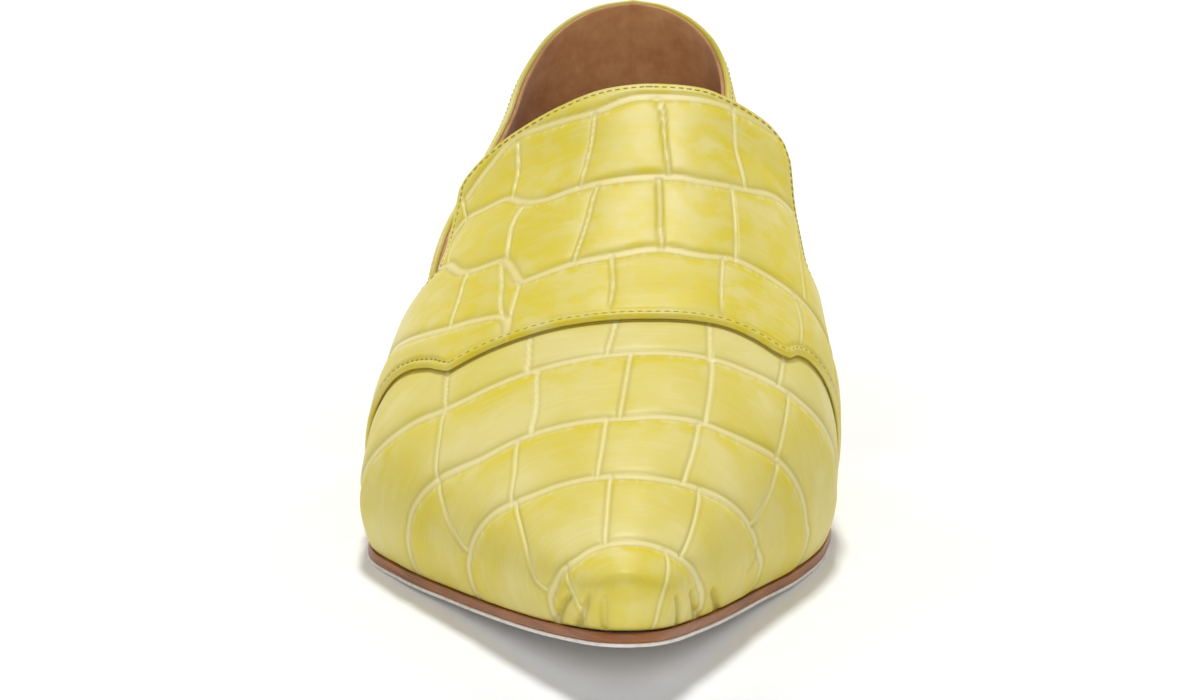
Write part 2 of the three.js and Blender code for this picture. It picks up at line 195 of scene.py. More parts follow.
# Gathers where the vamp is drawn over the toe
TOE_FOLDS = (
    ((-0.8, 0.004), (-1.43, 0.005), (-2, 0.006)), ((-0.9, 0.011), (-1.38, 0.015), (-2, 0.028)),
    ((-1.17, 0.026), (-1.63, 0.04), (-2, 0.053)), ((1.15, 0.023), (1.56, 0.031), (2, 0.039)),
    ((1.18, 0.042), (1.61, 0.056), (2, 0.077)), ((1.37, 0.077), (1.82, 0.099), (2, 0.111)),
)
SADDLE_BANDS = (
    ((-0.49, 0.482), (-0.4, 0.492), (-0.334, 0.499), (-0.239, 0.495), (-0.124, 0.494), (-0.02, 0.503),
     (0.1, 0.502), (0.21, 0.5), (0.325, 0.501), (0.5, 0.508)),
    ((-0.53, 0.46), (-0.492, 0.462), (-0.425, 0.453), (-0.358, 0.446), (-0.3, 0.431), (-0.239, 0.424),
     (-0.167, 0.426), (0.024, 0.43), (0.124, 0.428), (0.272, 0.433), (0.42, 0.449), (0.58, 0.464)),
    ((-0.6, 0.43), (-0.516, 0.415), (-0.463, 0.393), (-0.415, 0.383), (-0.363, 0.379), (-0.325, 0.376),
     (-0.3, 0.362), (-0.28, 0.348), (-0.25, 0.347), (-0.15, 0.353), (-0.067, 0.356), (0.01, 0.361),
     (0.105, 0.357), (0.22, 0.36), (0.353, 0.358), (0.5, 0.361), (0.7, 0.37), (0.9, 0.383), (1.2, 0.4),
     (2, 0.41)),
    ((-0.325, 0.284), (-0.325, 0.312), (-0.396, 0.323), (-0.482, 0.333), (-0.582, 0.352),
     (-0.68, 0.375), (-0.79, 0.404), (-0.95, 0.418), (-1.3, 0.43), (-2, 0.44)),
    ((0.82, 0.449), (0.9, 0.454), (1, 0.458), (1.4, 0.468), (2, 0.475)),
    ((-0.83, 0.466), (-0.92, 0.476), (-1.1, 0.482), (-2, 0.505)),
)
SADDLE_GROOVES = (
    ((-0.511, 0.498), (-0.506, 0.485), (-0.492, 0.462)), ((-0.325, 0.494), (-0.334, 0.47), (-0.344, 0.445)),
    ((-0.124, 0.493), (-0.148, 0.46), (-0.158, 0.427)), ((0.005, 0.502), (0.019, 0.474), (0.029, 0.432)),
    ((0.205, 0.499), (0.239, 0.471), (0.272, 0.435)), ((-0.492, 0.46), (-0.52, 0.447), (-0.52, 0.419)),
    ((-0.296, 0.428), (-0.315, 0.409), (-0.32, 0.379)), ((-0.115, 0.425), (-0.129, 0.393), (-0.158, 0.354)),
    ((0.01, 0.428), (0.01, 0.393), (0.014, 0.361)), ((0.215, 0.429), (0.215, 0.393), (0.22, 0.36)),
    ((0.549, 0.458), (0.535, 0.42), (0.53, 0.37)), ((-0.434, 0.386), (-0.444, 0.357), (-0.468, 0.332)),
    ((-0.286, 0.347), (-0.286, 0.338), (-0.31, 0.309), (-0.318, 0.288)),
    ((-0.076, 0.355), (-0.076, 0.323), (-0.091, 0.29)), ((0.177, 0.358), (0.181, 0.326), (0.196, 0.29)),
    ((0.468, 0.36), (0.501, 0.336), (0.52, 0.3)), ((-0.325, 0.312), (-0.33, 0.33), (-0.325, 0.35),
     (-0.335, 0.376)), ((0.2, 0.516), (0.203, 0.508), (0.205, 0.5)),
    ((0.72, 0.37), (0.76, 0.35), (0.8, 0.335)),
    ((0.74, 0.372), (0.78, 0.41), (0.84, 0.45)), ((-0.8, 0.404), (-0.86, 0.38), (-0.9, 0.357)),
    ((1.0, 0.39), (1.02, 0.42), (1.05, 0.458)), ((-0.95, 0.418), (-0.97, 0.45), (-1.0, 0.478)),
)

# The camera, from a least-squares fit to the photograph: where it looks, from how far, how high and how
# long a lens on a 36 mm sensor
TARGET = (-0.365, -29.96, 31.4)
DISTANCE = 600.0
ELEVATION = math.radians(12.4)
YAW = math.radians(-0.1)
SENSOR = 36.0
LENS = 5.71 * DISTANCE * SENSOR / 1200


def follow(x, y, at):
    """Monotone cubic through the points x, y: Hermite pieces whose slopes are the harmonic means of the
    steps on both sides, and none where the steps turn."""
    at = np.clip(at, x[0], x[-1])
    width = np.diff(x)
    step = np.diff(y) / width
    slope = np.zeros(len(x))
    slope[0], slope[-1] = step[0], step[-1]
    before, after = step[:-1], step[1:]
    both = np.where(before + after == 0, 1, before + after)
    slope[1:-1] = np.where(before * after <= 0, 0, 2 * before * after / both)
    i = np.clip(np.searchsorted(x, at, side="right") - 1, 0, len(x) - 2)
    t = (at - x[i]) / width[i]
    rest = 1 - t
    return (y[i] * rest * rest * (1 + 2 * t) + y[i + 1] * t * t * (3 - 2 * t)
            + slope[i] * width[i] * t * rest * rest - slope[i + 1] * width[i] * t * t * rest)


def last_at(column, s):
    """A column of the last at the distance s from the nose, followed over the root of the share."""
    return follow(np.sqrt(LAST["at"]), LAST[column], np.sqrt(np.clip(s, 0, LENGTH) / LENGTH))


def smoothstep(x, low, high):
    """A soft step from 0 at low to 1 at high."""
    t = np.clip((x - low) / (high - low), 0, 1)
    return t * t * (3 - 2 * t)


def underside(y):
    """Height of the sole's underside: a parabola of toe spring, the flat tread and a soft rise to the
    seat."""
    toe = np.clip((TREAD_FRONT - y) / TREAD_FRONT, 0, 1)
    return TOE_SPRING * toe * toe + HEEL_RAISE * smoothstep(y, WAIST_FRONT, WAIST_BACK)


def last_point(s, side, place):
    """Point of the last at the distance s, on side -1 or 1, at place -1 (sole) through 0 (widest) to 1
    (ridge): under the widest line a quarter ellipse that tucks in, above it a superellipse. Behind the
    heel's centre the sections turn about it as a fan."""
    s, side, place = np.broadcast_arrays(np.asarray(s, float), side, np.asarray(place, float))
    ridge = last_at("ridge", s) * BALL
    outside = side < 0
    widest = np.where(outside, last_at("outer", s) * BALL + ridge, last_at("inner", s) * BALL - ridge)
    foot = np.where(outside, last_at("outer_foot", s) * BALL + ridge, last_at("inner_foot", s) * BALL - ridge)
    power = np.where(outside, last_at("round_outer", s), last_at("round_inner", s))
    y = np.minimum(s, HEEL_CENTRE)
    turn = np.maximum(0, s - HEEL_CENTRE) / HEEL_TURN * np.pi / 2
    belly = last_at("belly", s) * INSTEP
    rise = last_at("rise", s) * INSTEP
    nose = TOE_OVERHANG * np.maximum(0, 1 - s / NOSE_END) ** 2
    low = np.clip(-place, 0, 1) * TUCK
    high = np.clip(place, 0, 1) * np.pi / 2
    tuck = (1 - np.cos(low)) / (1 - np.cos(TUCK))
    breadth = np.where(place < 0, widest - (widest - foot) * tuck,
                       widest * np.maximum(0, np.cos(high)) ** (2 / power))
    height = np.where(place < 0, belly * (1 - np.sin(low) / np.sin(TUCK)),
                      belly + (rise - belly) * np.sin(high) ** (2 / power))
    return np.stack([ridge + side * np.cos(turn) * breadth, y + np.sin(turn) * breadth + nose * tuck,
                     underside(y) + SOLE + height], -1)


def nearby(s, step):
    """A place along the length a step away in the root of its share."""
    return LENGTH * np.clip(np.sqrt(np.maximum(s, 0) / LENGTH) + step, 0, 1) ** 2


def slope_normal(s, side, place, along_step=0.0025, step=0.01):
    """Outward normal of the last, the cross product of its slopes along the length and up the side."""
    middle = np.clip(place, step - 1, 1 - 2 * step)
    along = last_point(nearby(s, along_step), side, middle) - last_point(nearby(s, -along_step), side, middle)
    across = last_point(s, side, middle + step) - last_point(s, side, middle - step)
    normal = np.cross(along, across) * np.asarray(side)[..., None]
    return normal / np.linalg.norm(normal, axis=-1, keepdims=True)


def raised(s, side, place, distance):
    """Point of the last moved out along its normal, no lower than the feather line. Where the two sides meet,
    at ridge, nose and heel back, they share one normal in the middle plane."""
    s, side, place, distance = (np.array(v, float) for v in np.broadcast_arrays(s, side, place, distance))
    normal = slope_normal(s, side, place)
    meeting = 1e-6
    shared = (place > 1 - meeting) | (s < meeting) | (s > LENGTH - meeting)
    other = slope_normal(s[shared], -side[shared], place[shared]) if shared.any() else 0
    both = normal[shared] + other
    both[:, 0] = 0
    normal[shared] = both / np.linalg.norm(both, axis=-1, keepdims=True)
    base = last_point(s, side, place)
    points = base + normal * distance[..., None]
    floor = underside(points[..., 1]) + SOLE
    points[..., 2] = np.where(place < meeting - 1, base[..., 2], np.maximum(points[..., 2], floor))
    return points, normal


def drawn(s, side, place, distance):
    """A raised point whose lowest part, towards the sole, is drawn down softly to the top of the seen
    sole."""
    points, _ = raised(s, side, place, distance)
    points[..., 2] -= (SOLE - SEEN_SOLE) * smoothstep(-np.broadcast_to(place, points.shape[:-1]), 0.3, 1)
    return points


def place_at(s, side, height):
    """The place on the last's section at a height above the feather line."""
    belly = last_at("belly", s) * INSTEP
    rise = last_at("rise", s) * INSTEP
    power = np.where(side < 0, last_at("round_outer", s), last_at("round_inner", s))
    low = -np.arcsin(np.clip((1 - height / belly) * np.sin(TUCK), -1, 1)) / TUCK
    share = np.clip((height - belly) / (rise - belly), 0, 1)
    return np.where(height < belly, low, np.arcsin(share ** (power / 2)) / (np.pi / 2))


def on_turn(turn):
    """Side and place of a turn: 0 on the ridge, 1 and 2 on the widest line and at the sole."""
    return np.where(np.asarray(turn) < 0, -1.0, 1.0), 1 - np.abs(turn)


def placed(points):
    """Points in the last's frame, in mm, brought to the part's frame, in metres. The part's foremost point is
    the last's nose."""
    nose = min((v.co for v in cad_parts["upper"].data.vertices), key=lambda co: co.y)
    last_nose = np.array([LAST["ridge"][0] * BALL, 0, 0])
    return (np.asarray(points) - last_nose) * MM + np.array([nose.x, nose.y, 0])


def smooth_route(points, steps=6):
    """A Catmull-Rom curve through the points: each span is the cubic that leaves and arrives along its
    neighbours."""
    points = np.asarray(points, float)
    padded = np.vstack([2 * points[0] - points[1], points, 2 * points[-1] - points[-2]])
    t = np.linspace(0, 1, steps, endpoint=False)[:, None]
    spans = [0.5 * (2 * b + (c - a) * t + (2 * a - 5 * b + 4 * c - d) * t ** 2
                    + (3 * b - a - 3 * c + d) * t ** 3)
             for a, b, c, d in zip(padded[:-3], padded[1:-2], padded[2:-1], padded[3:])]
    return np.vstack(spans + [points[-1:]])


def charted(lines, distance=0.0):
    """Charted lines as routes of points in space, on the last or at a distance from it."""
    routes = []
    for line in lines:
        turn, share = smooth_route(line).T
        side, place = on_turn(np.clip(turn, -2, 2))
        routes.append(raised(share * LENGTH, side, place, distance)[0])
    return routes


def distance_to(points, routes, reach=5.0):
    """Distance from each point to the nearest of the routes, up to the reach, step by step along them."""
    best = np.full(len(points), reach)
    for route in routes:
        inside = (points > route.min(0) - reach) & (points < route.max(0) + reach)
        near = np.flatnonzero(inside.all(1))
        here, found = points[near], best[near]
        for a, b in zip(route[:-1], route[1:]):
            step = b - a
            t = np.clip((here - a) @ step / max(step @ step, 1e-9), 0, 1)
            found = np.minimum(found, np.linalg.norm(here - a - t[:, None] * step, axis=1))
        best[near] = found
    return best


def bell(distance, width):
    """A soft bump, 1 at no distance and falling off as a Gaussian."""
    return np.exp(-(distance / width) ** 2)


def grain(points, bands, grooves, chart, sizes, lift=0.0, fine=1.0):
    """Relief and tone of the embossed grain at some points. A band is a low bead in a shallow crease, a
    groove is a fine cut, and the scales between them swell. lift is the points' distance from the last, and
    fine narrows the grooves. chart is (turn, share) of the points and gives how far each lies in front of
    the next band, where dye is rich."""
    groove_width = sizes.groove_width * fine
    shape = points.shape[:-1]
    flat = points.reshape(-1, 3)
    band = distance_to(flat, charted(bands, lift)).reshape(shape)
    groove = distance_to(flat, charted(grooves, lift)).reshape(shape)
    turn, share = chart
    ahead = np.full(shape, 40.0)
    for line in bands:
        line_turn, line_share = smooth_route(line).T
        order = np.argsort(line_turn)
        here = np.interp(turn, line_turn[order], line_share[order], left=-1, right=-1)
        gap = (here - share) * LENGTH
        ahead = np.where((gap > 0) & (gap < ahead) & (here > 0), gap, ahead)
    relief = (sizes.bead_height * bell(band, sizes.bead_width / 2)
              - sizes.crease_depth * bell(band, sizes.crease_width / 2)
              - sizes.groove_depth * bell(groove, groove_width / 2)
              + sizes.swell * (1 - np.exp(-np.minimum(band, 1.3 * groove) / 1.8)))
    tones = {
        "band": bell(band, sizes.bead_width * 0.62),
        "groove": bell(groove, groove_width * 0.42),
        # Painted shade: darker lines in each crease beside the bead and along the flanks of each groove
        "crease": np.maximum(bell(band - 0.8 * sizes.bead_width, 0.3),
                             0.6 * bell(groove - 0.76 * groove_width, 0.42 * groove_width)),
        "rich": smoothstep(ahead, 0.4, 1.6) * np.exp(-np.maximum(ahead - 2, 0) / 5.5),
        "tick": smoothstep(ahead, 0.3, 0.8) * (1 - smoothstep(ahead, 1.2, 2.6)),
    }
    return relief, tones


def girth(points):
    """Distance travelled along each row of points, from the middle column."""
    steps = np.linalg.norm(np.diff(points, axis=1), axis=-1)
    run = np.concatenate([np.zeros((len(points), 1)), np.cumsum(steps, 1)], 1)
    return run - run[:, [run.shape[1] // 2]]


def new_object(name, points, faces, material, tones=None, spread=None, nodes=()):
    """A mesh object from points in mm and faces of point numbers, its meeting points welded and its faces
    turned outwards. tones are values of points kept as attributes, and spread is a pair of lengths in mm,
    kept as the UV map in hundredths."""
    mesh = bpy.data.meshes.new(name)
    mesh.from_pydata(placed(points), [], faces)
    mesh.update()
    for tone, values in (tones or {}).items():
        layer = mesh.attributes.new(tone, "FLOAT", "POINT")
        layer.data.foreach_set("value", np.ascontiguousarray(values, dtype=np.float32).ravel())
    if spread is not None:
        corners = np.empty(len(mesh.loops), np.int32)
        mesh.loops.foreach_get("vertex_index", corners)
        layer = mesh.uv_layers.new(name="Spread")
        layer.data.foreach_set("uv", (np.asarray(spread)[corners] * 0.01).astype(np.float32).ravel())
    form = bmesh.new()
    form.from_mesh(mesh)
    bmesh.ops.remove_doubles(form, verts=form.verts, dist=0.0005 * MM)
    bmesh.ops.recalc_face_normals(form, faces=form.faces)
    form.to_mesh(mesh)
    form.free()
    mesh.polygons.foreach_set("use_smooth", np.ones(len(mesh.polygons), bool))
    mesh.set_sharp_from_angle(angle=math.radians(50))
    piece = bpy.data.objects.new(name, mesh)
    bpy.context.scene.collection.objects.link(piece)
    mesh.materials.append(material)
    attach(piece, "root")
    if nodes:
        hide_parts(*nodes)
    return piece


def hide_of(top, under, coarse=1, nose=False):
    """Points and faces of a closed sheet between two grids: the fine top, the under side taken at every
    coarse-th point, and a rim of many-sided faces between them. With nose, the first row folds onto itself
    and needs no rim."""
    rows, columns = top.shape[:2]
    low = under[::coarse, ::coarse]
    low_rows, low_columns = low.shape[:2]
    up = np.arange(rows * columns).reshape(rows, columns)
    down = np.arange(low_rows * low_columns).reshape(low_rows, low_columns) + rows * columns

    def quads(grid):
        """The four corners of each cell of a grid of point numbers."""
        return np.stack([grid[:-1, :-1], grid[:-1, 1:], grid[1:, 1:], grid[1:, :-1]], -1).reshape(-1, 4)

    faces = quads(up).tolist() + quads(down)[:, ::-1].tolist()
    borders = [(up[:, 0], down[:, 0]), (up[:, -1], down[:, -1]), (up[-1], down[-1])]
    if not nose:
        borders.append((up[0], down[0]))
    for fine, rough in borders:
        for k in range(len(rough) - 1):
            faces.append([*fine[k * coarse:(k + 1) * coarse + 1].tolist(), int(rough[k + 1]), int(rough[k])])
    return np.vstack([top.reshape(-1, 3), low.reshape(-1, 3)]), faces


def both_sides(values, coarse):
    """Values of the top grid, followed by those of the coarser under side."""
    return np.concatenate([values.ravel(), values[::coarse, ::coarse].ravel()])


def linear(code):
    """The linear colour of an sRGB hex code."""
    parts = [int(code[i:i + 2], 16) / 255 for i in (1, 3, 5)]
    return tuple(c / 12.92 if c <= 0.04045 else ((c + 0.055) / 1.055) ** 2.4 for c in parts) + (1.0,)


def add_node(tree, kind, links=None, **settings):
    """Adds a shader node with its settings. links gives each input a value or another node's output."""
    node = tree.nodes.new("ShaderNode" + kind)
    for name, value in settings.items():
        setattr(node, name, value)
    for name, value in (links or {}).items():
        if isinstance(value, bpy.types.NodeSocket):
            tree.links.new(value, node.inputs[name])
        else:
            node.inputs[name].default_value = value
    return node


def new_material(name, **values):
    """A material with a Principled shader and its constant values. Returns it with its tree and shader."""
    material = bpy.data.materials.new(name)
    material.use_nodes = True
    tree = material.node_tree
    shader = tree.nodes["Principled BSDF"]
    for socket, value in values.items():
        shader.inputs[socket.replace("_", " ")].default_value = value
    return material, tree, shader


def blend_colour(tree, share, under, over):
    """The colour under, mixed towards over by a share."""
    mixed = add_node(tree, "Mix", {0: share, 6: under, 7: over}, data_type="RGBA")
    return mixed.outputs[2]


def ramp(tree, value, low, high, start=0.0, end=1.0):
    """A value brought from the range low to high to the range start to end, and kept there."""
    made = add_node(tree, "MapRange", {"Value": value, "From Min": low, "From Max": high, "To Min": start,
                                       "To Max": end})
    return made.outputs["Result"]


def times(tree, first, second):
    """The product of two values."""
    return add_node(tree, "Math", {0: first, 1: second}, operation="MULTIPLY").outputs[0]


def croc_calf(leather):
    """Crocodile-embossed calf, aniline-dyed and lightly glazed: soft broad highlights, richer dye in front of
    the creases, paler beads and grooves, and hair-fine striations across the scales."""
    material, tree, shader = new_material("croc_embossed_calf", Roughness=leather.roughness,
                                          Coat_Weight=0.05, Coat_Roughness=0.3,
                                          Specular_IOR_Level=0.3)
    spread = add_node(tree, "UVMap", uv_map="Spread").outputs["UV"]
    place = add_node(tree, "TexCoord").outputs["Object"]
    tones = {name: add_node(tree, "Attribute", attribute_name=name).outputs["Fac"]
             for name in ("band", "groove", "crease", "rich", "seam", "tick")}
    # Clouds of dye 14 mm across, and streaks 10 mm long and 0.7 mm apart across the shoe
    clouds = add_node(tree, "TexNoise", {"Vector": place, "Scale": 1 / (14 * MM), "Detail": 3.0})
    small = add_node(tree, "TexNoise", {"Vector": place, "Scale": 1 / (4 * MM), "Detail": 3.0})
    stretch = add_node(tree, "Mapping", {"Vector": spread, "Scale": (100 / 10, 100 / 0.7, 1)})
    streaks = add_node(tree, "TexNoise", {"Vector": stretch.outputs[0], "Scale": 1.0, "Detail": 2.0})
    colour = blend_colour(tree, ramp(tree, clouds.outputs["Fac"], 0.35, 0.65), (*leather.pale, 1),
                          (*leather.body, 1))
    patches = ramp(tree, small.outputs["Fac"], 0.4, 0.6, 0.25, 1.0)
    colour = blend_colour(tree, times(tree, tones["rich"], patches), colour, (*leather.rich, 1))
    # Ticks 1.4 mm apart that run from a crease into the scale
    comb = add_node(tree, "Mapping", {"Vector": spread, "Scale": (100 / 1.4, 100 / 9, 1)})
    ticks = add_node(tree, "TexNoise", {"Vector": comb.outputs[0], "Scale": 1.0, "Detail": 1.0})
    ticked = times(tree, tones["tick"], ramp(tree, ticks.outputs["Fac"], 0.5, 0.6))
    colour = blend_colour(tree, times(tree, ticked, 0.5), colour, (*leather.bead, 1))
    colour = blend_colour(tree, ramp(tree, streaks.outputs["Fac"], 0.55, 0.85, 0.0, 0.3), colour,
                          (*leather.rich, 1))
    colour = blend_colour(tree, ramp(tree, streaks.outputs["Fac"], 0.45, 0.2, 0.0, 0.25), colour,
                          (*leather.bead, 1))
    # Painted shade: the crease colour darkens the creases beside the beads, the flanks of the grooves and the
    # toe gathers
    colour = blend_colour(tree, ramp(tree, tones["crease"], 0, 1, 0, 0.4), colour, (*leather.crease, 1))
    colour = blend_colour(tree, ramp(tree, tones["groove"], 0, 1, 0, 0.85), colour, (*leather.groove, 1))
    colour = blend_colour(tree, ramp(tree, tones["band"], 0, 1, 0, 0.75), colour, (*leather.bead, 1))
    # The seam tone darkens the heel's back seam as a dark joint, and is painted shade under the saddle's
    # front fold and on the fold's lower half
    colour = blend_colour(tree, ramp(tree, tones["seam"], 0, 1, 0, 0.7), colour, (*leather.crease, 1))
    tree.links.new(colour, shader.inputs["Base Color"])
    pores = add_node(tree, "TexNoise", {"Vector": place, "Scale": 1 / (0.5 * MM), "Detail": 2.0})
    height = add_node(tree, "Math", {0: streaks.outputs["Fac"], 1: times(tree, pores.outputs["Fac"], 0.35)},
                      operation="ADD")
    bump = add_node(tree, "Bump", {"Strength": 0.3, "Distance": 0.07 * MM, "Height": height.outputs[0]})
    tree.links.new(bump.outputs[0], shader.inputs["Normal"])
    return material


def suede_lining(name, code, light_code):
    """Pigskin lining with a short brushed nap: matt, with soft streaks where the nap lies another way."""
    material, tree, shader = new_material(name, Roughness=0.85, Sheen_Weight=0.25, Sheen_Roughness=0.5)
    place = add_node(tree, "TexCoord").outputs["Object"]
    # Nap brushed one way and the other in patches of 7 mm, over 0.6 mm fuzz
    strokes = add_node(tree, "TexNoise", {"Vector": place, "Scale": 1 / (7 * MM), "Detail": 5.0,
                                          "Roughness": 0.65})
    fuzz = add_node(tree, "TexNoise", {"Vector": place, "Scale": 1 / (0.6 * MM), "Detail": 2.0})
    colour = blend_colour(tree, ramp(tree, strokes.outputs["Fac"], 0.35, 0.7), linear(code),
                          linear(light_code))
    tree.links.new(colour, shader.inputs["Base Color"])
    bump = add_node(tree, "Bump", {"Strength": 0.4, "Distance": 0.15 * MM, "Height": fuzz.outputs["Fac"]})
    tree.links.new(bump.outputs[0], shader.inputs["Normal"])
    return material


def waxed_edge(name, code, dark_code, roughness):
    """Vegetable-tanned leather, edge-trimmed and waxed: fibres run along the edge as fine darker lines."""
    material, tree, shader = new_material(name, Roughness=roughness)
    place = add_node(tree, "TexCoord").outputs["Object"]
    # Fibre lines 0.35 mm apart in height and 15 mm long
    stretch = add_node(tree, "Mapping", {"Vector": place,
                                         "Scale": (1 / (15 * MM), 1 / (15 * MM), 1 / (0.35 * MM))})
    fibres = add_node(tree, "TexNoise", {"Vector": stretch.outputs[0], "Scale": 1.0, "Detail": 3.0})
    blots = add_node(tree, "TexNoise", {"Vector": place, "Scale": 1 / (9 * MM), "Detail": 3.0})
    share = add_node(tree, "Math", {0: times(tree, fibres.outputs["Fac"], 0.6),
                                    1: times(tree, blots.outputs["Fac"], 0.5)}, operation="ADD").outputs[0]
    colour = blend_colour(tree, ramp(tree, share, 0.4, 0.75), linear(code), linear(dark_code))
    tree.links.new(colour, shader.inputs["Base Color"])
    bump = add_node(tree, "Bump", {"Strength": 0.3, "Distance": 0.1 * MM, "Height": fibres.outputs["Fac"]})
    tree.links.new(bump.outputs[0], shader.inputs["Normal"])
    return material


def sole_leather():
    """Bone-coloured buffed sole: smooth and matt, with faint drag marks along the tread."""
    material, tree, shader = new_material("bone_sole_leather", Roughness=0.55)
    place = add_node(tree, "TexCoord").outputs["Object"]
    # Drag marks 1.2 mm wide and 30 mm long
    stretch = add_node(tree, "Mapping", {"Vector": place,
                                         "Scale": (1 / (1.2 * MM), 1 / (30 * MM), 1 / (8 * MM))})
    drags = add_node(tree, "TexNoise", {"Vector": stretch.outputs[0], "Scale": 1.0, "Detail": 4.0})
    colour = blend_colour(tree, ramp(tree, drags.outputs["Fac"], 0.45, 0.75, 0, 0.6), linear("#ece5dc"),
                          linear("#cfc1ae"))
    tree.links.new(colour, shader.inputs["Base Color"])
    bump = add_node(tree, "Bump", {"Strength": 0.15, "Distance": 0.1 * MM, "Height": drags.outputs["Fac"]})
    tree.links.new(bump.outputs[0], shader.inputs["Normal"])
    return material


def moulded_rubber():
    """Moulded top-piece rubber: dark, matt, with a fine pebbled skin of 0.8 mm grains."""
    material, tree, shader = new_material("moulded_rubber", Roughness=0.7)
    place = add_node(tree, "TexCoord").outputs["Object"]
    pebbles = add_node(tree, "TexVoronoi", {"Vector": place, "Scale": 1 / (0.8 * MM)})
    colour = blend_colour(tree, pebbles.outputs["Distance"], linear("#3a2e26"), linear("#4a3c32"))
    tree.links.new(colour, shader.inputs["Base Color"])
    bump = add_node(tree, "Bump", {"Strength": 0.4, "Distance": 0.1 * MM,
                                   "Height": pebbles.outputs["Distance"]})
    tree.links.new(bump.outputs[0], shader.inputs["Normal"])
    return material


def sewing_thread():
    """Bonded polyester thread, darker than the leather as painted shade of the stitches, with a slight sheen
    and a 0.5 mm twist.
    """
    material, tree, shader = new_material("bonded_thread", Roughness=0.5)
    place = add_node(tree, "TexCoord").outputs["Object"]
    twist = add_node(tree, "TexWave", {"Vector": place, "Scale": 1 / (0.5 * MM)}, bands_direction="DIAGONAL")
    colour = blend_colour(tree, twist.outputs["Fac"], linear("#8f8434"), linear("#a99d48"))
    tree.links.new(colour, shader.inputs["Base Color"])
    return material


def floor_paint():
    """Matt white studio floor, with the faintest mottle so that it isn't one flat colour."""
    material, tree, shader = new_material("matt_white_floor", Roughness=0.9)
    place = add_node(tree, "TexCoord").outputs["Object"]
    mottle = add_node(tree, "TexNoise", {"Vector": place, "Scale": 6.0, "Detail": 2.0})
    colour = blend_colour(tree, mottle.outputs["Fac"], linear("#f4f5f8"), linear("#f8f9fb"))
    tree.links.new(colour, shader.inputs["Base Color"])
    return material


def material_once(name, make, *given):
    """The material of that name, made the first time it is asked for."""
    return bpy.data.materials.get(name) or make(*given)


def spaced(low, high, cells, crowding=1.0):
    """Places from low to high, crowded towards low by a power."""
    return low + (high - low) * np.linspace(0, 1, cells + 1) ** crowding


def across_turns(upper_cells, lower_cells):
    """Turns from sole to sole over the ridge, fine above the widest line and coarser under it."""
    half = np.concatenate([np.linspace(0, 1, upper_cells, endpoint=False) ** 1.2,
                           np.linspace(1, 2, lower_cells + 1)])
    return np.concatenate([-half[:0:-1], half])


def chart_girth(turn):
    """Rough distance in mm from the ridge for a turn: 50 mm to the widest line and 10 mm more to the sole."""
    size = np.abs(turn)
    return np.sign(turn) * (CHART_UPPER * np.minimum(size, 1) + CHART_LOWER * np.maximum(size - 1, 0))


def chart_turn(distance):
    """The turn at a rough distance from the ridge, the other way round."""
    size = np.abs(distance)
    return np.sign(distance) * (np.minimum(size / CHART_UPPER, 1)
                                + np.maximum(size - CHART_UPPER, 0) / CHART_LOWER)


def saddle_edge(name, turn):
    """Distance from the nose of the saddle's front or back edge at a turn."""
    side, place = on_turn(turn)
    outer = follow(SADDLE_EDGES["turn"], SADDLE_EDGES[name + "_outer"], place)
    inner = follow(SADDLE_EDGES["turn"], SADDLE_EDGES[name + "_inner"], place)
    if name == "front":
        inner = inner + 0.03 * smoothstep(-place, -0.15, 0.3)
    return np.where(side < 0, outer, inner) * LENGTH


def inset(curve, margin):
    """A curve on the flat chart moved to its left by a margin, along the mean of its neighbours' slopes."""
    slope = np.gradient(curve, axis=0)
    slope /= np.linalg.norm(slope, axis=1, keepdims=True)
    return curve + margin * np.stack([-slope[:, 1], slope[:, 0]], 1)


def saddle_borders(count):
    """The front and the back edge of the saddle on the flat chart (girth, distance from the nose), with count
    points spread evenly along the back edge, which turns sharply at the tongue's sides."""
    turn = np.linspace(-2, 2, 8001)
    back = np.stack([chart_girth(turn), saddle_edge("back", turn)], 1)
    run = np.concatenate([[0], np.cumsum(np.linalg.norm(np.diff(back, axis=0) * (1, 0.45), axis=1))])
    turn = np.interp(np.linspace(0, run[-1], count), run, turn)
    return (np.stack([chart_girth(turn), saddle_edge("front", turn)], 1),
            np.stack([chart_girth(turn), saddle_edge("back", turn)], 1))


def saddle_point(chart, distance):
    """Points over the last from the flat chart, and their normals. The leather is skived thinner down the
    wings and towards the front fold."""
    turn = np.clip(chart_turn(chart[..., 0]), -2, 2)
    side, place = on_turn(turn)
    skived = 1 - 0.5 * smoothstep(np.abs(turn), 0.75, 1.2)
    fold = 0.68 + 0.32 * smoothstep(chart[..., 1] - saddle_edge("front", turn), 0, 8)
    return raised(chart[..., 1], side, place, np.asarray(distance) * skived * fold)


def top_place(s, side):
    """Place of the upper's top edge behind the throat."""
    height = follow(TOP_LINE[:, 0], TOP_LINE[:, 1], np.asarray(s) / LENGTH)
    return place_at(s, side, SIDE_STRIP + height * (CUP - SIDE_STRIP))


def mm_per_place(s, side, edge, step=0.02):
    """Distance on the last for one unit of place, taken over a small step down from the edge."""
    return np.linalg.norm(last_point(s, side, edge) - last_point(s, side, edge - step), axis=1) / step


def run_places(cells):
    """The quarter's run from the throat's outer side round the heel to its inner side: distance and side.
    The stations crowd towards the back seam."""
    half = LENGTH - (LENGTH - THROAT) * np.linspace(1, 0, cells + 1) ** 1.3
    return np.concatenate([half, half[-2::-1]]), np.repeat([-1.0, 1.0], [cells + 1, cells])


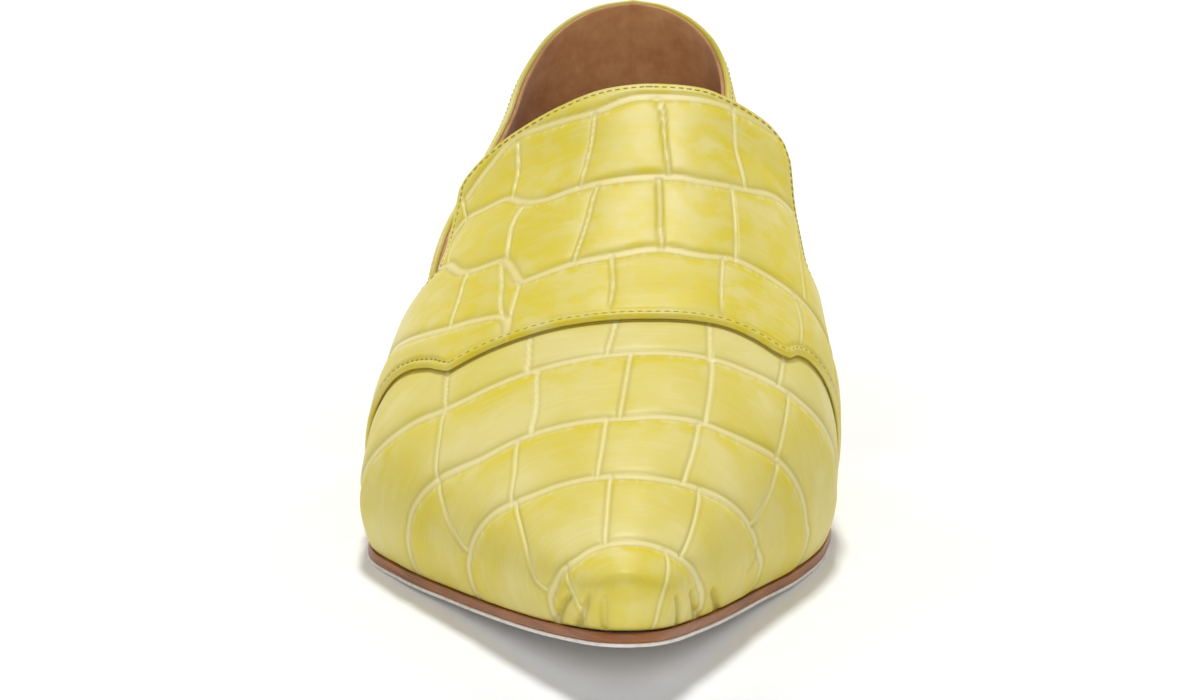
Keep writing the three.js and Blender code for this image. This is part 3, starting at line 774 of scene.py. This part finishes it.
def quarter_sheet(outer, inner, drop, cells, rows):
    """Grid of a layer of the quarter: down the outside from a rounded top edge, which lies a drop under the
    upper's own. outer and inner are the layer's distances in from the last's surface."""
    s, side = run_places(cells)
    edge = top_place(s, side)
    per_place = mm_per_place(s, side, edge)
    half = (inner - outer) / 2
    arc = np.linspace(-np.pi / 2, np.pi / 2, 7)
    crown = edge[:, None] - (drop + half - half * np.cos(arc)) / per_place[:, None]
    crown_in = (inner + outer) / 2 - half * np.sin(arc)
    down = crown[:, -1:] + (-1 - crown[:, -1:]) * np.linspace(0, 1, rows + 1)[1:]
    place = np.concatenate([crown, down], 1)
    inward = np.concatenate([np.tile(crown_in, (len(s), 1)), np.full(down.shape, outer)], 1)
    low = crown[:, :1] - 0.15 / per_place[:, None]
    under = low + (-1 - low) * np.linspace(0, 1, place.shape[1])
    return s, side, place, inward, under


def outline(s, side, margin, step=0.0125):
    """The sole's outline, moved out from the feather line in plan."""
    along = last_point(nearby(s, step), side, -1.0) - last_point(nearby(s, -step), side, -1.0)
    normal = np.stack([side * along[..., 1], -side * along[..., 0], np.zeros_like(along[..., 0])], -1)
    ends = (s < 1e-6) | (s > LENGTH - 1e-6)
    normal[..., 0] = np.where(ends, 0, normal[..., 0])
    normal /= np.linalg.norm(normal, axis=-1, keepdims=True)
    return last_point(s, side, -1.0) + normal * np.asarray(margin)[..., None]


def plate_faces(start, end, cells, profile):
    """Points and faces of a plate under the sole: a profile of (margin, height) from its bottom edge to its
    top edge is carried along the outline, and each station is closed across by a flat bottom and top. The
    stations crowd towards the nose."""
    t = np.linspace(0, 1, cells + 1)
    root = math.sqrt(start) + (math.sqrt(end) - math.sqrt(start)) * t
    s = np.minimum(root ** 2, end)
    margins = np.array([row[0] for row in profile])
    sides = []
    for side in (-1.0, 1.0):
        s_all, margin = np.broadcast_arrays(s[:, None], margins)
        points = outline(s_all, np.full(s_all.shape, side), margin)
        for k, (_, height) in enumerate(profile):
            points[:, k, 2] = height(points[:, k, 1])
        sides.append(points)
    count = 7
    mix = np.linspace(0, 1, count + 2)[1:-1][None, :, None]
    top = sides[0][:, -1:] * (1 - mix) + sides[1][:, -1:] * mix
    bottom = sides[1][:, :1] * (1 - mix) + sides[0][:, :1] * mix
    ring = np.concatenate([sides[0], top, sides[1][:, ::-1], bottom], 1)
    rows, columns = ring.shape[:2]
    index = np.arange(rows * columns).reshape(rows, columns)
    ahead = np.roll(index, -1, 1)
    faces = np.stack([index[:-1], ahead[:-1], ahead[1:], index[1:]], -1).reshape(-1, 4).tolist()
    if start > 0:
        faces.append(index[0, ::-1].tolist())
    if end < LENGTH:
        faces.append(index[-1].tolist())
    return ring.reshape(-1, 3), faces


def rounded(margin, low, high, radius, steps=4):
    """Profile of a plate's edge, upright between two heights with rounded corners."""
    turn = np.linspace(np.pi / 2, 0, steps)
    corner = [(margin - radius * (1 - math.cos(a)), radius * (1 - math.sin(a))) for a in turn]
    bottom = [(m, (lambda y, h=h: low(y) + h)) for m, h in corner]
    top = [(m, (lambda y, h=h: high(y) - h)) for m, h in corner[::-1]]
    return bottom + top


def stitch_run(name, path, normals, sizes, material):
    """A run of stitches: spindle-shaped threads, 7 stations by 6 sides, laid end to end along the path at the
    thread's pitch, their ends sunk into the leather."""
    stations, sides = 7, 6
    steps = np.linalg.norm(np.diff(path, axis=0), axis=1)
    run = np.concatenate([[0], np.cumsum(steps)])
    middles = np.arange(sizes.pitch / 2, run[-1], sizes.pitch)
    centre = np.stack([np.interp(middles, run, path[:, k]) for k in range(3)], 1)
    ahead = np.stack([np.interp(middles + 0.3, run, path[:, k]) for k in range(3)], 1)
    behind = np.stack([np.interp(middles - 0.3, run, path[:, k]) for k in range(3)], 1)
    normal = np.stack([np.interp(middles, run, normals[:, k]) for k in range(3)], 1)
    along = (ahead - behind) / np.linalg.norm(ahead - behind, axis=1, keepdims=True)
    across = np.cross(normal, along)
    across /= np.linalg.norm(across, axis=1, keepdims=True)
    up = np.cross(along, across)
    t = np.linspace(-1, 1, stations)
    thickness = sizes.thread / 2 * np.sqrt(1 - 0.9 * t ** 4)
    thickness[[0, -1]] = 0.02
    angle = np.linspace(0, 2 * np.pi, sides, endpoint=False)
    lengthwise = t * sizes.stitch / 2
    sunk = -sizes.thread * 0.55 * t ** 4
    shape = np.stack(np.broadcast_arrays(lengthwise[:, None], thickness[:, None] * np.cos(angle),
                                         thickness[:, None] * np.sin(angle) + sunk[:, None]), -1)
    shape = shape.reshape(-1, 3)
    points = (centre[:, None] + shape[None, :, :1] * along[:, None] + shape[None, :, 1:2] * across[:, None]
              + shape[None, :, 2:] * up[:, None])
    index = np.arange(stations * sides).reshape(stations, sides)
    turned = np.roll(index, -1, 1)
    side = np.stack([index[:-1], turned[:-1], turned[1:], index[1:]], -1).reshape(-1, 4)
    ends = [index[0, ::-1], index[-1]]
    faces = []
    for k in range(len(centre)):
        first = stations * sides * k
        faces += (side + first).tolist() + [(end + first).tolist() for end in ends]
    return new_object(name, points.reshape(-1, 3), faces, material)


class DorsayLeather(PropertyGroup):
    """Colours and gloss of the embossed calf."""

    pale: FloatVectorProperty(name="Scale centre", description="Dye in the middle of a scale", size=3,
                              subtype="COLOR", default=linear("#e0d280")[:3])
    body: FloatVectorProperty(name="Scale", description="Dye over most of a scale", size=3,
                              subtype="COLOR", default=linear("#d8c74c")[:3])
    # Over the middle of the saddle this dye is also laid evenly as painted shade on the tongue
    rich: FloatVectorProperty(name="Rich dye", description="Dye in front of each crease", size=3,
                              subtype="COLOR", default=linear("#dac60a")[:3])
    bead: FloatVectorProperty(name="Bead", description="Paler bead in the creases", size=3,
                              subtype="COLOR", default=linear("#ebdd9c")[:3])
    groove: FloatVectorProperty(name="Groove", description="Fine grooves between scales", size=3,
                                subtype="COLOR", default=linear("#f2e8a6")[:3])
    # Painted shade: this colour darkens the creases beside the beads, the grooves' flanks, the toe gathers,
    # the saddle's front fold and the vamp under it; at the heel's back seam it is the seam's dark joint
    crease: FloatVectorProperty(name="Crease", description="Dark dye gathered beside a bead", size=3,
                                subtype="COLOR", default=linear("#95842a")[:3])
    roughness: FloatProperty(name="Roughness", description="Roughness of the glazed face", default=0.5,
                             min=0, max=1, subtype="FACTOR")


class DorsayGrain(PropertyGroup):
    """Sizes of the embossed grain, in millimetres."""

    bead_width: FloatProperty(name="Bead width", description="Width of the bead in a crease", default=1.15)
    bead_height: FloatProperty(name="Bead height", description="Height of the bead", default=0.36)
    crease_width: FloatProperty(name="Crease width", description="Width of a crease", default=2.6)
    crease_depth: FloatProperty(name="Crease depth", description="Depth of a crease", default=0.5)
    groove_width: FloatProperty(name="Groove width", description="Width of a fine groove", default=0.72)
    groove_depth: FloatProperty(name="Groove depth", description="Depth of a fine groove", default=0.28)
    swell: FloatProperty(name="Swell", description="How far a scale swells", default=0.22)


class DorsaySewing(PropertyGroup):
    """Sizes of the stitches, in millimetres."""

    pitch: FloatProperty(name="Pitch", description="Distance from stitch to stitch", default=1.5)
    stitch: FloatProperty(name="Stitch", description="Length of a stitch", default=1.2)
    thread: FloatProperty(name="Thread", description="Thickness of the thread", default=0.36)
    margin: FloatProperty(name="Margin", description="Distance of a seam from the edge", default=1.15)


class DorsayStage(PropertyGroup):
    """Light on the stage."""

    sky: FloatProperty(name="Sky", description="Brightness of the white surround", default=0.1, min=0)
    key: FloatProperty(name="Key light", description="Strength of the high key behind", default=2.1, min=0)
    sides: FloatProperty(name="Side lights", description="Power of each side light", default=2.7, min=0)
    fill: FloatProperty(name="Fill light", description="Power of the front light", default=5.4, min=0)


def calf():
    """The embossed calf, made once from the scene's settings."""
    return material_once("croc_embossed_calf", croc_calf, bpy.context.scene.dorsay_leather)


class DORSAY_OT_vamp(Operator):
    """Vamp leather: the last's own surface over the toe and ball, with the charted grain and toe gathers"""

    bl_idname = "dorsay.vamp"
    bl_label = "Vamp"

    def execute(self, context):
        sizes = context.scene.dorsay_grain
        s = spaced(0, THROAT, 288, 1.15)[:, None]
        turn = across_turns(136, 16)[None, :]
        side, place = on_turn(turn)
        plain, _ = raised(s, side, place, 0.0)
        relief, tones = grain(plain, VAMP_BANDS, VAMP_GROOVES, np.broadcast_arrays(turn, s / LENGTH), sizes)
        gather = distance_to(plain.reshape(-1, 3), charted(TOE_FOLDS)).reshape(relief.shape)
        gather = bell(gather, 0.55) * smoothstep(np.abs(turn), 0.8, 1.3)
        relief = relief * smoothstep(s, 0, 5) - 0.9 * gather * smoothstep(s, 0, 0.8)
        relief += 0.4 * bell(s - 3, 4.5) * bell(turn - 0.1, 0.9) * smoothstep(s, 0, 2)
        front = saddle_edge("front", turn)
        relief = np.minimum(relief, 0.25) * smoothstep(front - s, 0.2, 2)
        relief = relief * smoothstep(2 - np.abs(turn), 0, 0.12)
        # Painted shade: the toe gathers are darkened with the crease colour
        tones["crease"] = np.maximum(tones["crease"], gather)
        nose_dye = 0.45 * smoothstep(12 - s, 0, 5) * smoothstep(1.5 - np.abs(turn), 0, 0.6)
        tones["rich"] = np.maximum(tones["rich"], nose_dye)
        # Painted shade: a dark line on the vamp just under the saddle's front fold
        tones["seam"] = 0.6 * bell(front - s, 0.45)
        top = drawn(s, side, place, relief)
        under = drawn(s, side, place, -0.15 - 1.05 * smoothstep(s, 0, 12))
        points, faces = hide_of(top, under, 4, nose=True)
        run = np.stack([girth(plain), np.broadcast_to(s, relief.shape)], -1)
        spread = np.concatenate([run.reshape(-1, 2), run[::4, ::4].reshape(-1, 2)])
        new_object("vamp_leather", points, faces, calf(), {k: both_sides(v, 4) for k, v in tones.items()},
                   spread, ["upper"])
        return {"FINISHED"}


class DORSAY_OT_quarter(Operator):
    """Quarter leather: the low side strips and the heel cup, folded over along the top edge"""

    bl_idname = "dorsay.quarter"
    bl_label = "Quarter"

    def execute(self, context):
        sizes = context.scene.dorsay_grain
        s, side, place, inward, low = quarter_sheet(0.0, CALF, 0.0, 210, 54)
        flat_s, flat_side = s[:, None], side[:, None]
        plain, _ = raised(flat_s, flat_side, place, -inward)
        turn = flat_side * (1 - place)
        tones = {name: np.zeros(place.shape) for name in ("band", "groove", "crease", "rich", "seam")}
        # Scales in rows that wander and are set off from one row to the next
        around = np.where(flat_side < 0, flat_s, 2 * LENGTH - flat_s)
        climb = plain[..., 2] - underside(plain[..., 1])
        row = (climb + 2.2 * np.sin(around / 13) + 1.1 * np.sin(around / 5.7)) / SCALE_ROW
        across_row = np.abs(row - np.round(row)) * SCALE_ROW
        column = (around + 1.6 * np.sin(climb / 6.0)) / SCALE_LENGTH + 0.37 * np.round(row - 0.5)
        across_column = np.abs(column - np.round(column)) * SCALE_LENGTH
        relief = (sizes.bead_height * bell(across_row, sizes.bead_width / 2)
                  - sizes.crease_depth * bell(across_row, sizes.crease_width / 2)
                  - sizes.groove_depth * bell(across_column, sizes.groove_width / 2)
                  + 0.5 * sizes.swell)
        tones["band"] = bell(across_row, sizes.bead_width * 0.6)
        tones["groove"] = bell(across_column, sizes.groove_width * 0.6)
        tones["rich"] = bell((row - np.floor(row)) * SCALE_ROW - 2.6, 2.2)
        seam = np.linalg.norm(plain - raised(LENGTH, 1, np.clip(place, -1, 1), 0.0)[0], axis=-1)
        from_edge = plain[:, :8, 2].max(1, keepdims=True) - plain[..., 2]
        face = smoothstep(from_edge, 0.6, 2.4) * (inward < 0.01)
        front = saddle_edge("back", turn)
        covered = smoothstep(flat_s - front, -1.5, 0.5)
        relief = np.minimum(relief, 0.3) * face * covered * smoothstep(place, -1, -0.9)
        relief -= 0.3 * bell(seam, 0.45) * (inward < 0.01)
        for name in ("band", "groove", "rich"):
            tones[name] = tones[name] * face
        tones["seam"] = bell(seam, 0.35)
        top = drawn(flat_s, flat_side, place, relief - inward)
        under = drawn(flat_s, flat_side, low, -CALF)
        points, faces = hide_of(top, under, 3)
        run = np.stack(np.broadcast_arrays(climb, around), -1)
        spread = np.concatenate([run.reshape(-1, 2), run[::3, ::3].reshape(-1, 2)])
        new_object("quarter_leather", points, faces, calf(), {k: both_sides(v, 3) for k, v in tones.items()},
                   spread, ["upper"])
        return {"FINISHED"}


class DORSAY_OT_lining(Operator):
    """Suede linings of vamp, quarter and tongue, each a thin sheet inside its leather"""

    bl_idname = "dorsay.lining"
    bl_label = "Linings"

    def execute(self, context):
        suede = material_once("brown_suede_lining", suede_lining, "brown_suede_lining", "#bd814e", "#d6a26c")
        s = spaced(LINING_START, THROAT, 60)[:, None]
        turn = across_turns(30, 5)[None, :]
        side, place = on_turn(turn)
        outer, _ = raised(s, side, place, -CALF)
        inner, _ = raised(s, side, place, -LINING_IN)
        points, faces = hide_of(outer, inner)
        new_object("vamp_lining", points, faces, suede, nodes=["upper"])
        s, side, place, inward, low = quarter_sheet(LINING_OUT, LINING_IN, 0.25, 150, 36)
        outer, _ = raised(s[:, None], side[:, None], place, -inward)
        inner, _ = raised(s[:, None], side[:, None], low, -LINING_IN)
        seam = bell(np.linalg.norm(inner - raised(LENGTH, 1, low, -LINING_IN)[0], axis=-1), 0.5)
        inner, _ = raised(s[:, None], side[:, None], low, 0.25 * seam - LINING_IN)
        points, faces = hide_of(outer, inner)
        new_object("quarter_lining", points, faces, suede, nodes=["upper"])
        front, back = saddle_borders(300)
        mix = np.linspace(0, 1, 41)[:, None, None]
        chart = inset(front, 2.2)[None] * (1 - mix) + inset(back, -2.2)[None] * mix
        outer, _ = saddle_point(chart, 0.62)
        inner, _ = saddle_point(chart, 0.32)
        points, faces = hide_of(outer, inner)
        new_object("tongue_lining", points, faces, suede, nodes=["saddle"])
        return {"FINISHED"}


class DORSAY_OT_saddle(Operator):
    """Saddle leather: the raised overlay with its tongue and wings, its edges folded over a cord"""

    bl_idname = "dorsay.saddle"
    bl_label = "Saddle"

    def execute(self, context):
        sizes = context.scene.dorsay_grain
        front, back = saddle_borders(641)
        low, high = 0.08, GAP + SADDLE
        half = (high - low) / 2
        arc = np.linspace(-np.pi / 2, np.pi / 2, 8)
        margins = half * (1 - np.cos(arc))
        middle = np.linspace(0, 1, 127)[1:-1]
        lead, trail = inset(front, half), inset(back, -half)
        rows = [inset(front, m) for m in margins]
        rows += [lead * (1 - t) + trail * t for t in middle]
        rows += [inset(back, -m) for m in margins[::-1]]
        chart = np.stack(rows)
        inner = low + half + half * np.sin(arc)
        distance = np.concatenate([inner, np.full(len(middle), high), inner[::-1]])[:, None]
        face = (distance > high - 0.01) * np.ones(chart.shape[:2])
        plain, _ = saddle_point(chart, distance)
        turn, share = chart_turn(chart[..., 0]), chart[..., 1] / LENGTH
        relief, tones = grain(plain, SADDLE_BANDS, SADDLE_GROOVES, (turn, share), sizes, high, 0.85)
        from_front, from_back = (
            distance_to(plain.reshape(-1, 3), [saddle_point(border, high)[0][::3]]).reshape(relief.shape)
            for border in (front, back))
        edge = smoothstep(np.minimum(from_front, from_back), 1.2, 2.6)
        relief = relief * edge + 0.2 * bell(from_front - 0.75, 0.5) - 0.22 * bell(from_front - 1.6, 0.4)
        relief -= 0.12 * bell(from_back - 1.15, 0.35)
        relief = relief * face
        for name in ("band", "groove", "rich"):
            tones[name] = tones[name] * (0.35 + 0.65 * edge) * face
        tones["crease"] = tones["crease"] * edge
        # Painted shade: rich dye laid evenly over the middle of the saddle, darkening the lit tongue
        tones["rich"] = np.maximum(tones["rich"], 0.85 * (1 - smoothstep(np.abs(turn), 0.5, 0.75)))
        # Painted shade: the lower half of the folded edge, which faces down, is darkened
        tones["seam"] = np.where(distance < low + half, 0.12, 0.0) * np.ones(relief.shape)
        top, _ = saddle_point(chart, distance + relief)
        mix = np.linspace(0, 1, len(chart))[:, None, None]
        hollow = 0.56 * smoothstep(np.minimum(mix, 1 - mix), 0, 0.03)[..., 0]
        below = inset(front, half + 0.1)[None] * (1 - mix) + inset(back, -half - 0.1)[None] * mix
        under, _ = saddle_point(below, low + hollow)
        points, faces = hide_of(top, under, 5)
        run = np.stack([girth(plain), np.broadcast_to(share * LENGTH, relief.shape)], -1)
        spread = np.concatenate([run.reshape(-1, 2), run[::5, ::5].reshape(-1, 2)])
        new_object("saddle_leather", points, faces, calf(), {k: both_sides(v, 5) for k, v in tones.items()},
                   spread, ["saddle"])
        return {"FINISHED"}


class DORSAY_OT_stitches(Operator):
    """Stitches along the saddle's edges and the quarter's top line"""

    bl_idname = "dorsay.stitches"
    bl_label = "Stitches"

    def execute(self, context):
        sewing = context.scene.dorsay_sewing
        thread = material_once("bonded_thread", sewing_thread)
        front, back = saddle_borders(1600)
        high = GAP + SADDLE
        for name, border, margin in (("saddle_front_seam", front, sewing.margin),
                                     ("saddle_back_seam", back, -sewing.margin)):
            line = inset(border, margin)
            keep = np.abs(line[:, 0]) < 58.5
            path, normals = saddle_point(line[keep], high - 0.08)
            stitch_run(name, path, normals, sewing, thread)
        s, side = run_places(400)
        edge = top_place(s, side)
        per_place = mm_per_place(s, side, edge)
        path, normals = raised(s, side, edge - (sewing.margin + 0.35) / per_place, 0.02)
        open_run = s > saddle_edge("back", side * (1 - edge)) + 2
        stitch_run("quarter_seam", path[open_run], normals[open_run], sewing, thread)
        return {"FINISHED"}


class DORSAY_OT_sole(Operator):
    """Sock, sole edge, sole, stacked heel and lift, each a profile carried along the sole's outline"""

    bl_idname = "dorsay.sole"
    bl_label = "Sole and heel"

    def execute(self, context):
        sock = material_once("brown_sock_leather", suede_lining, "brown_sock_leather", "#74482a", "#8a5c38")
        edge = material_once("waxed_sole_edge", waxed_edge, "waxed_sole_edge", "#a6642f", "#7d4820", 0.42)
        stack = material_once("stacked_heel_leather", waxed_edge, "stacked_heel_leather", "#9a5c3a",
                              "#6f3d22", 0.5)

        def seat(y):
            """Height of the feather line, on which the sock lies."""
            return underside(y) + SOLE

        points, faces = plate_faces(0.04 * LENGTH, LENGTH, 200,
                                    rounded(-WALL - 2 * GAP, seat, lambda y: seat(y) + SOCK, 0.4))
        new_object("sock", points, faces, sock, nodes=["insole"])
        points, faces = plate_faces(0, LENGTH, 260,
                                    rounded(SOLE_MARGIN, lambda y: underside(y) + BONE_EDGE + 0.02,
                                            lambda y: underside(y) + SEEN_SOLE - 0.03, 0.3))
        new_object("sole_edge", points, faces, edge, nodes=["edge_strip"])
        points, faces = plate_faces(0, LENGTH, 260,
                                    rounded(SOLE_MARGIN, underside, lambda y: underside(y) + BONE_EDGE, 0.2))
        new_object("sole", points, faces, material_once("bone_sole_leather", sole_leather),
                   nodes=["outsole"])
        bottom, top = LIFT + 0.06, HEEL_RAISE - 0.06
        layers, bevel = 4, 0.16
        profile = []
        for k in range(layers):
            low = bottom + (top - bottom) * k / layers
            high = bottom + (top - bottom) * (k + 1) / layers
            for height, cut in ((low + 0.02, bevel), (low + bevel, 0.0), (high - bevel, 0.0),
                                (high - 0.02, bevel)):
                margin = SOLE_MARGIN - HEEL_TAPER * (top - height) / (top - bottom) - cut
                profile.append((margin, lambda y, z=height: np.full_like(y, z)))
        points, faces = plate_faces(HEEL_FRONT, LENGTH, 60, profile)
        new_object("stacked_heel", points, faces, stack, nodes=["heel_stack"])
        points, faces = plate_faces(HEEL_FRONT, LENGTH, 60,
                                    rounded(SOLE_MARGIN - HEEL_TAPER, lambda y: 0 * y,
                                            lambda y: 0 * y + LIFT, 0.4))
        new_object("lift", points, faces, material_once("moulded_rubber", moulded_rubber),
                   nodes=["heel_lift"])
        return {"FINISHED"}


class DORSAY_OT_stage(Operator):
    """White floor, lights and the camera at the photograph's angle"""

    bl_idname = "dorsay.stage"
    bl_label = "Stage"

    def execute(self, context):
        scene = context.scene
        lights = scene.dorsay_stage
        scene.view_settings.view_transform = "Standard"
        mesh = bpy.data.meshes.new("floor")
        size = np.linspace(-12.0, 12.0, 9)
        x, y = np.meshgrid(size, size, indexing="ij")
        count = len(size)
        index = np.arange(count * count).reshape(count, count)
        faces = np.stack([index[:-1, :-1], index[1:, :-1], index[1:, 1:], index[:-1, 1:]], -1).reshape(-1, 4)
        mesh.from_pydata(np.stack([x, y, np.full_like(x, -0.00002)], -1).reshape(-1, 3), [], faces.tolist())
        floor = bpy.data.objects.new("floor", mesh)
        scene.collection.objects.link(floor)
        mesh.materials.append(material_once("matt_white_floor", floor_paint))
        world = bpy.data.worlds.new("studio")
        scene.world = world
        world.use_nodes = True
        sky = world.node_tree.nodes["Background"]
        sky.inputs["Color"].default_value = (1, 1, 1, 1)
        sky.inputs["Strength"].default_value = lights.sky
        # The key stands high behind the heel, so the toe's shadow falls just in front of it
        key = bpy.data.lights.new("key", "SUN")
        key.energy = lights.key
        key.angle = math.radians(10)
        lamps = [(key, (0.0, 0.36, 1.0))]
        for name, place, size, power in (("left_rim", (-0.45, 1.0, 0.28), 0.6, 0.6 * lights.sides),
                                         ("right_rim", (0.45, 1.0, 0.28), 0.6, 0.6 * lights.sides),
                                         ("left_side", (-0.7, 0.4, 0.6), 0.7, 1.1 * lights.sides),
                                         ("right_side", (0.7, 0.4, 0.6), 0.7, lights.sides),
                                         ("front_fill", (0.0, -1.0, 0.24), 0.9, lights.fill)):
            light = bpy.data.lights.new(name, "AREA")
            light.size = size
            light.energy = power
            lamps.append((light, place))
        for light, place in lamps:
            lamp = bpy.data.objects.new(light.name, light)
            lamp.location = place
            lamp.rotation_euler = (Vector(place) - Vector((0, 0, 0.03))).to_track_quat("Z", "Y").to_euler()
            scene.collection.objects.link(lamp)
        camera = bpy.data.cameras.new("camera")
        camera.sensor_width = SENSOR
        camera.lens = LENS
        camera.clip_start = 0.01
        eye = bpy.data.objects.new("camera", camera)
        back = Vector((math.sin(YAW) * math.cos(ELEVATION), -math.cos(YAW) * math.cos(ELEVATION),
                       math.sin(ELEVATION)))
        eye.location = (Vector(TARGET) + DISTANCE * back) * MM
        eye.rotation_euler = back.to_track_quat("Z", "Y").to_euler()
        scene.collection.objects.link(eye)
        scene.camera = eye
        return {"FINISHED"}


PIECES = (DORSAY_OT_vamp, DORSAY_OT_quarter, DORSAY_OT_lining, DORSAY_OT_saddle, DORSAY_OT_stitches,
          DORSAY_OT_sole, DORSAY_OT_stage)
SETTINGS = (("dorsay_leather", DorsayLeather), ("dorsay_grain", DorsayGrain), ("dorsay_sewing", DorsaySewing),
            ("dorsay_stage", DorsayStage))


class DORSAY_PT_panel(Panel):
    """Lists the shoe's pieces and their settings"""

    bl_label = "Dorsay Flat"
    bl_idname = "DORSAY_PT_panel"
    bl_space_type = "VIEW_3D"
    bl_region_type = "UI"
    bl_category = "Dorsay Flat"

    def draw(self, context):
        for piece in PIECES:
            self.layout.operator(piece.bl_idname)
        for name, group in SETTINGS:
            box = self.layout.box()
            for prop in group.__annotations__:
                box.prop(getattr(context.scene, name), prop)


def register():
    """Registers the settings, the operators and the panel."""
    for name, group in SETTINGS:
        bpy.utils.register_class(group)
        setattr(bpy.types.Scene, name, PointerProperty(type=group))
    for piece in PIECES:
        bpy.utils.register_class(piece)
    bpy.utils.register_class(DORSAY_PT_panel)


def unregister():
    """Takes them out again, in the other order."""
    bpy.utils.unregister_class(DORSAY_PT_panel)
    for piece in reversed(PIECES):
        bpy.utils.unregister_class(piece)
    for name, group in SETTINGS:
        delattr(bpy.types.Scene, name)
        bpy.utils.unregister_class(group)


def main():
    """Makes every piece in order."""
    register()
    for piece in PIECES:
        group, call = piece.bl_idname.split(".")
        getattr(getattr(bpy.ops, group), call)()


if __name__ == "__main__":
    main()
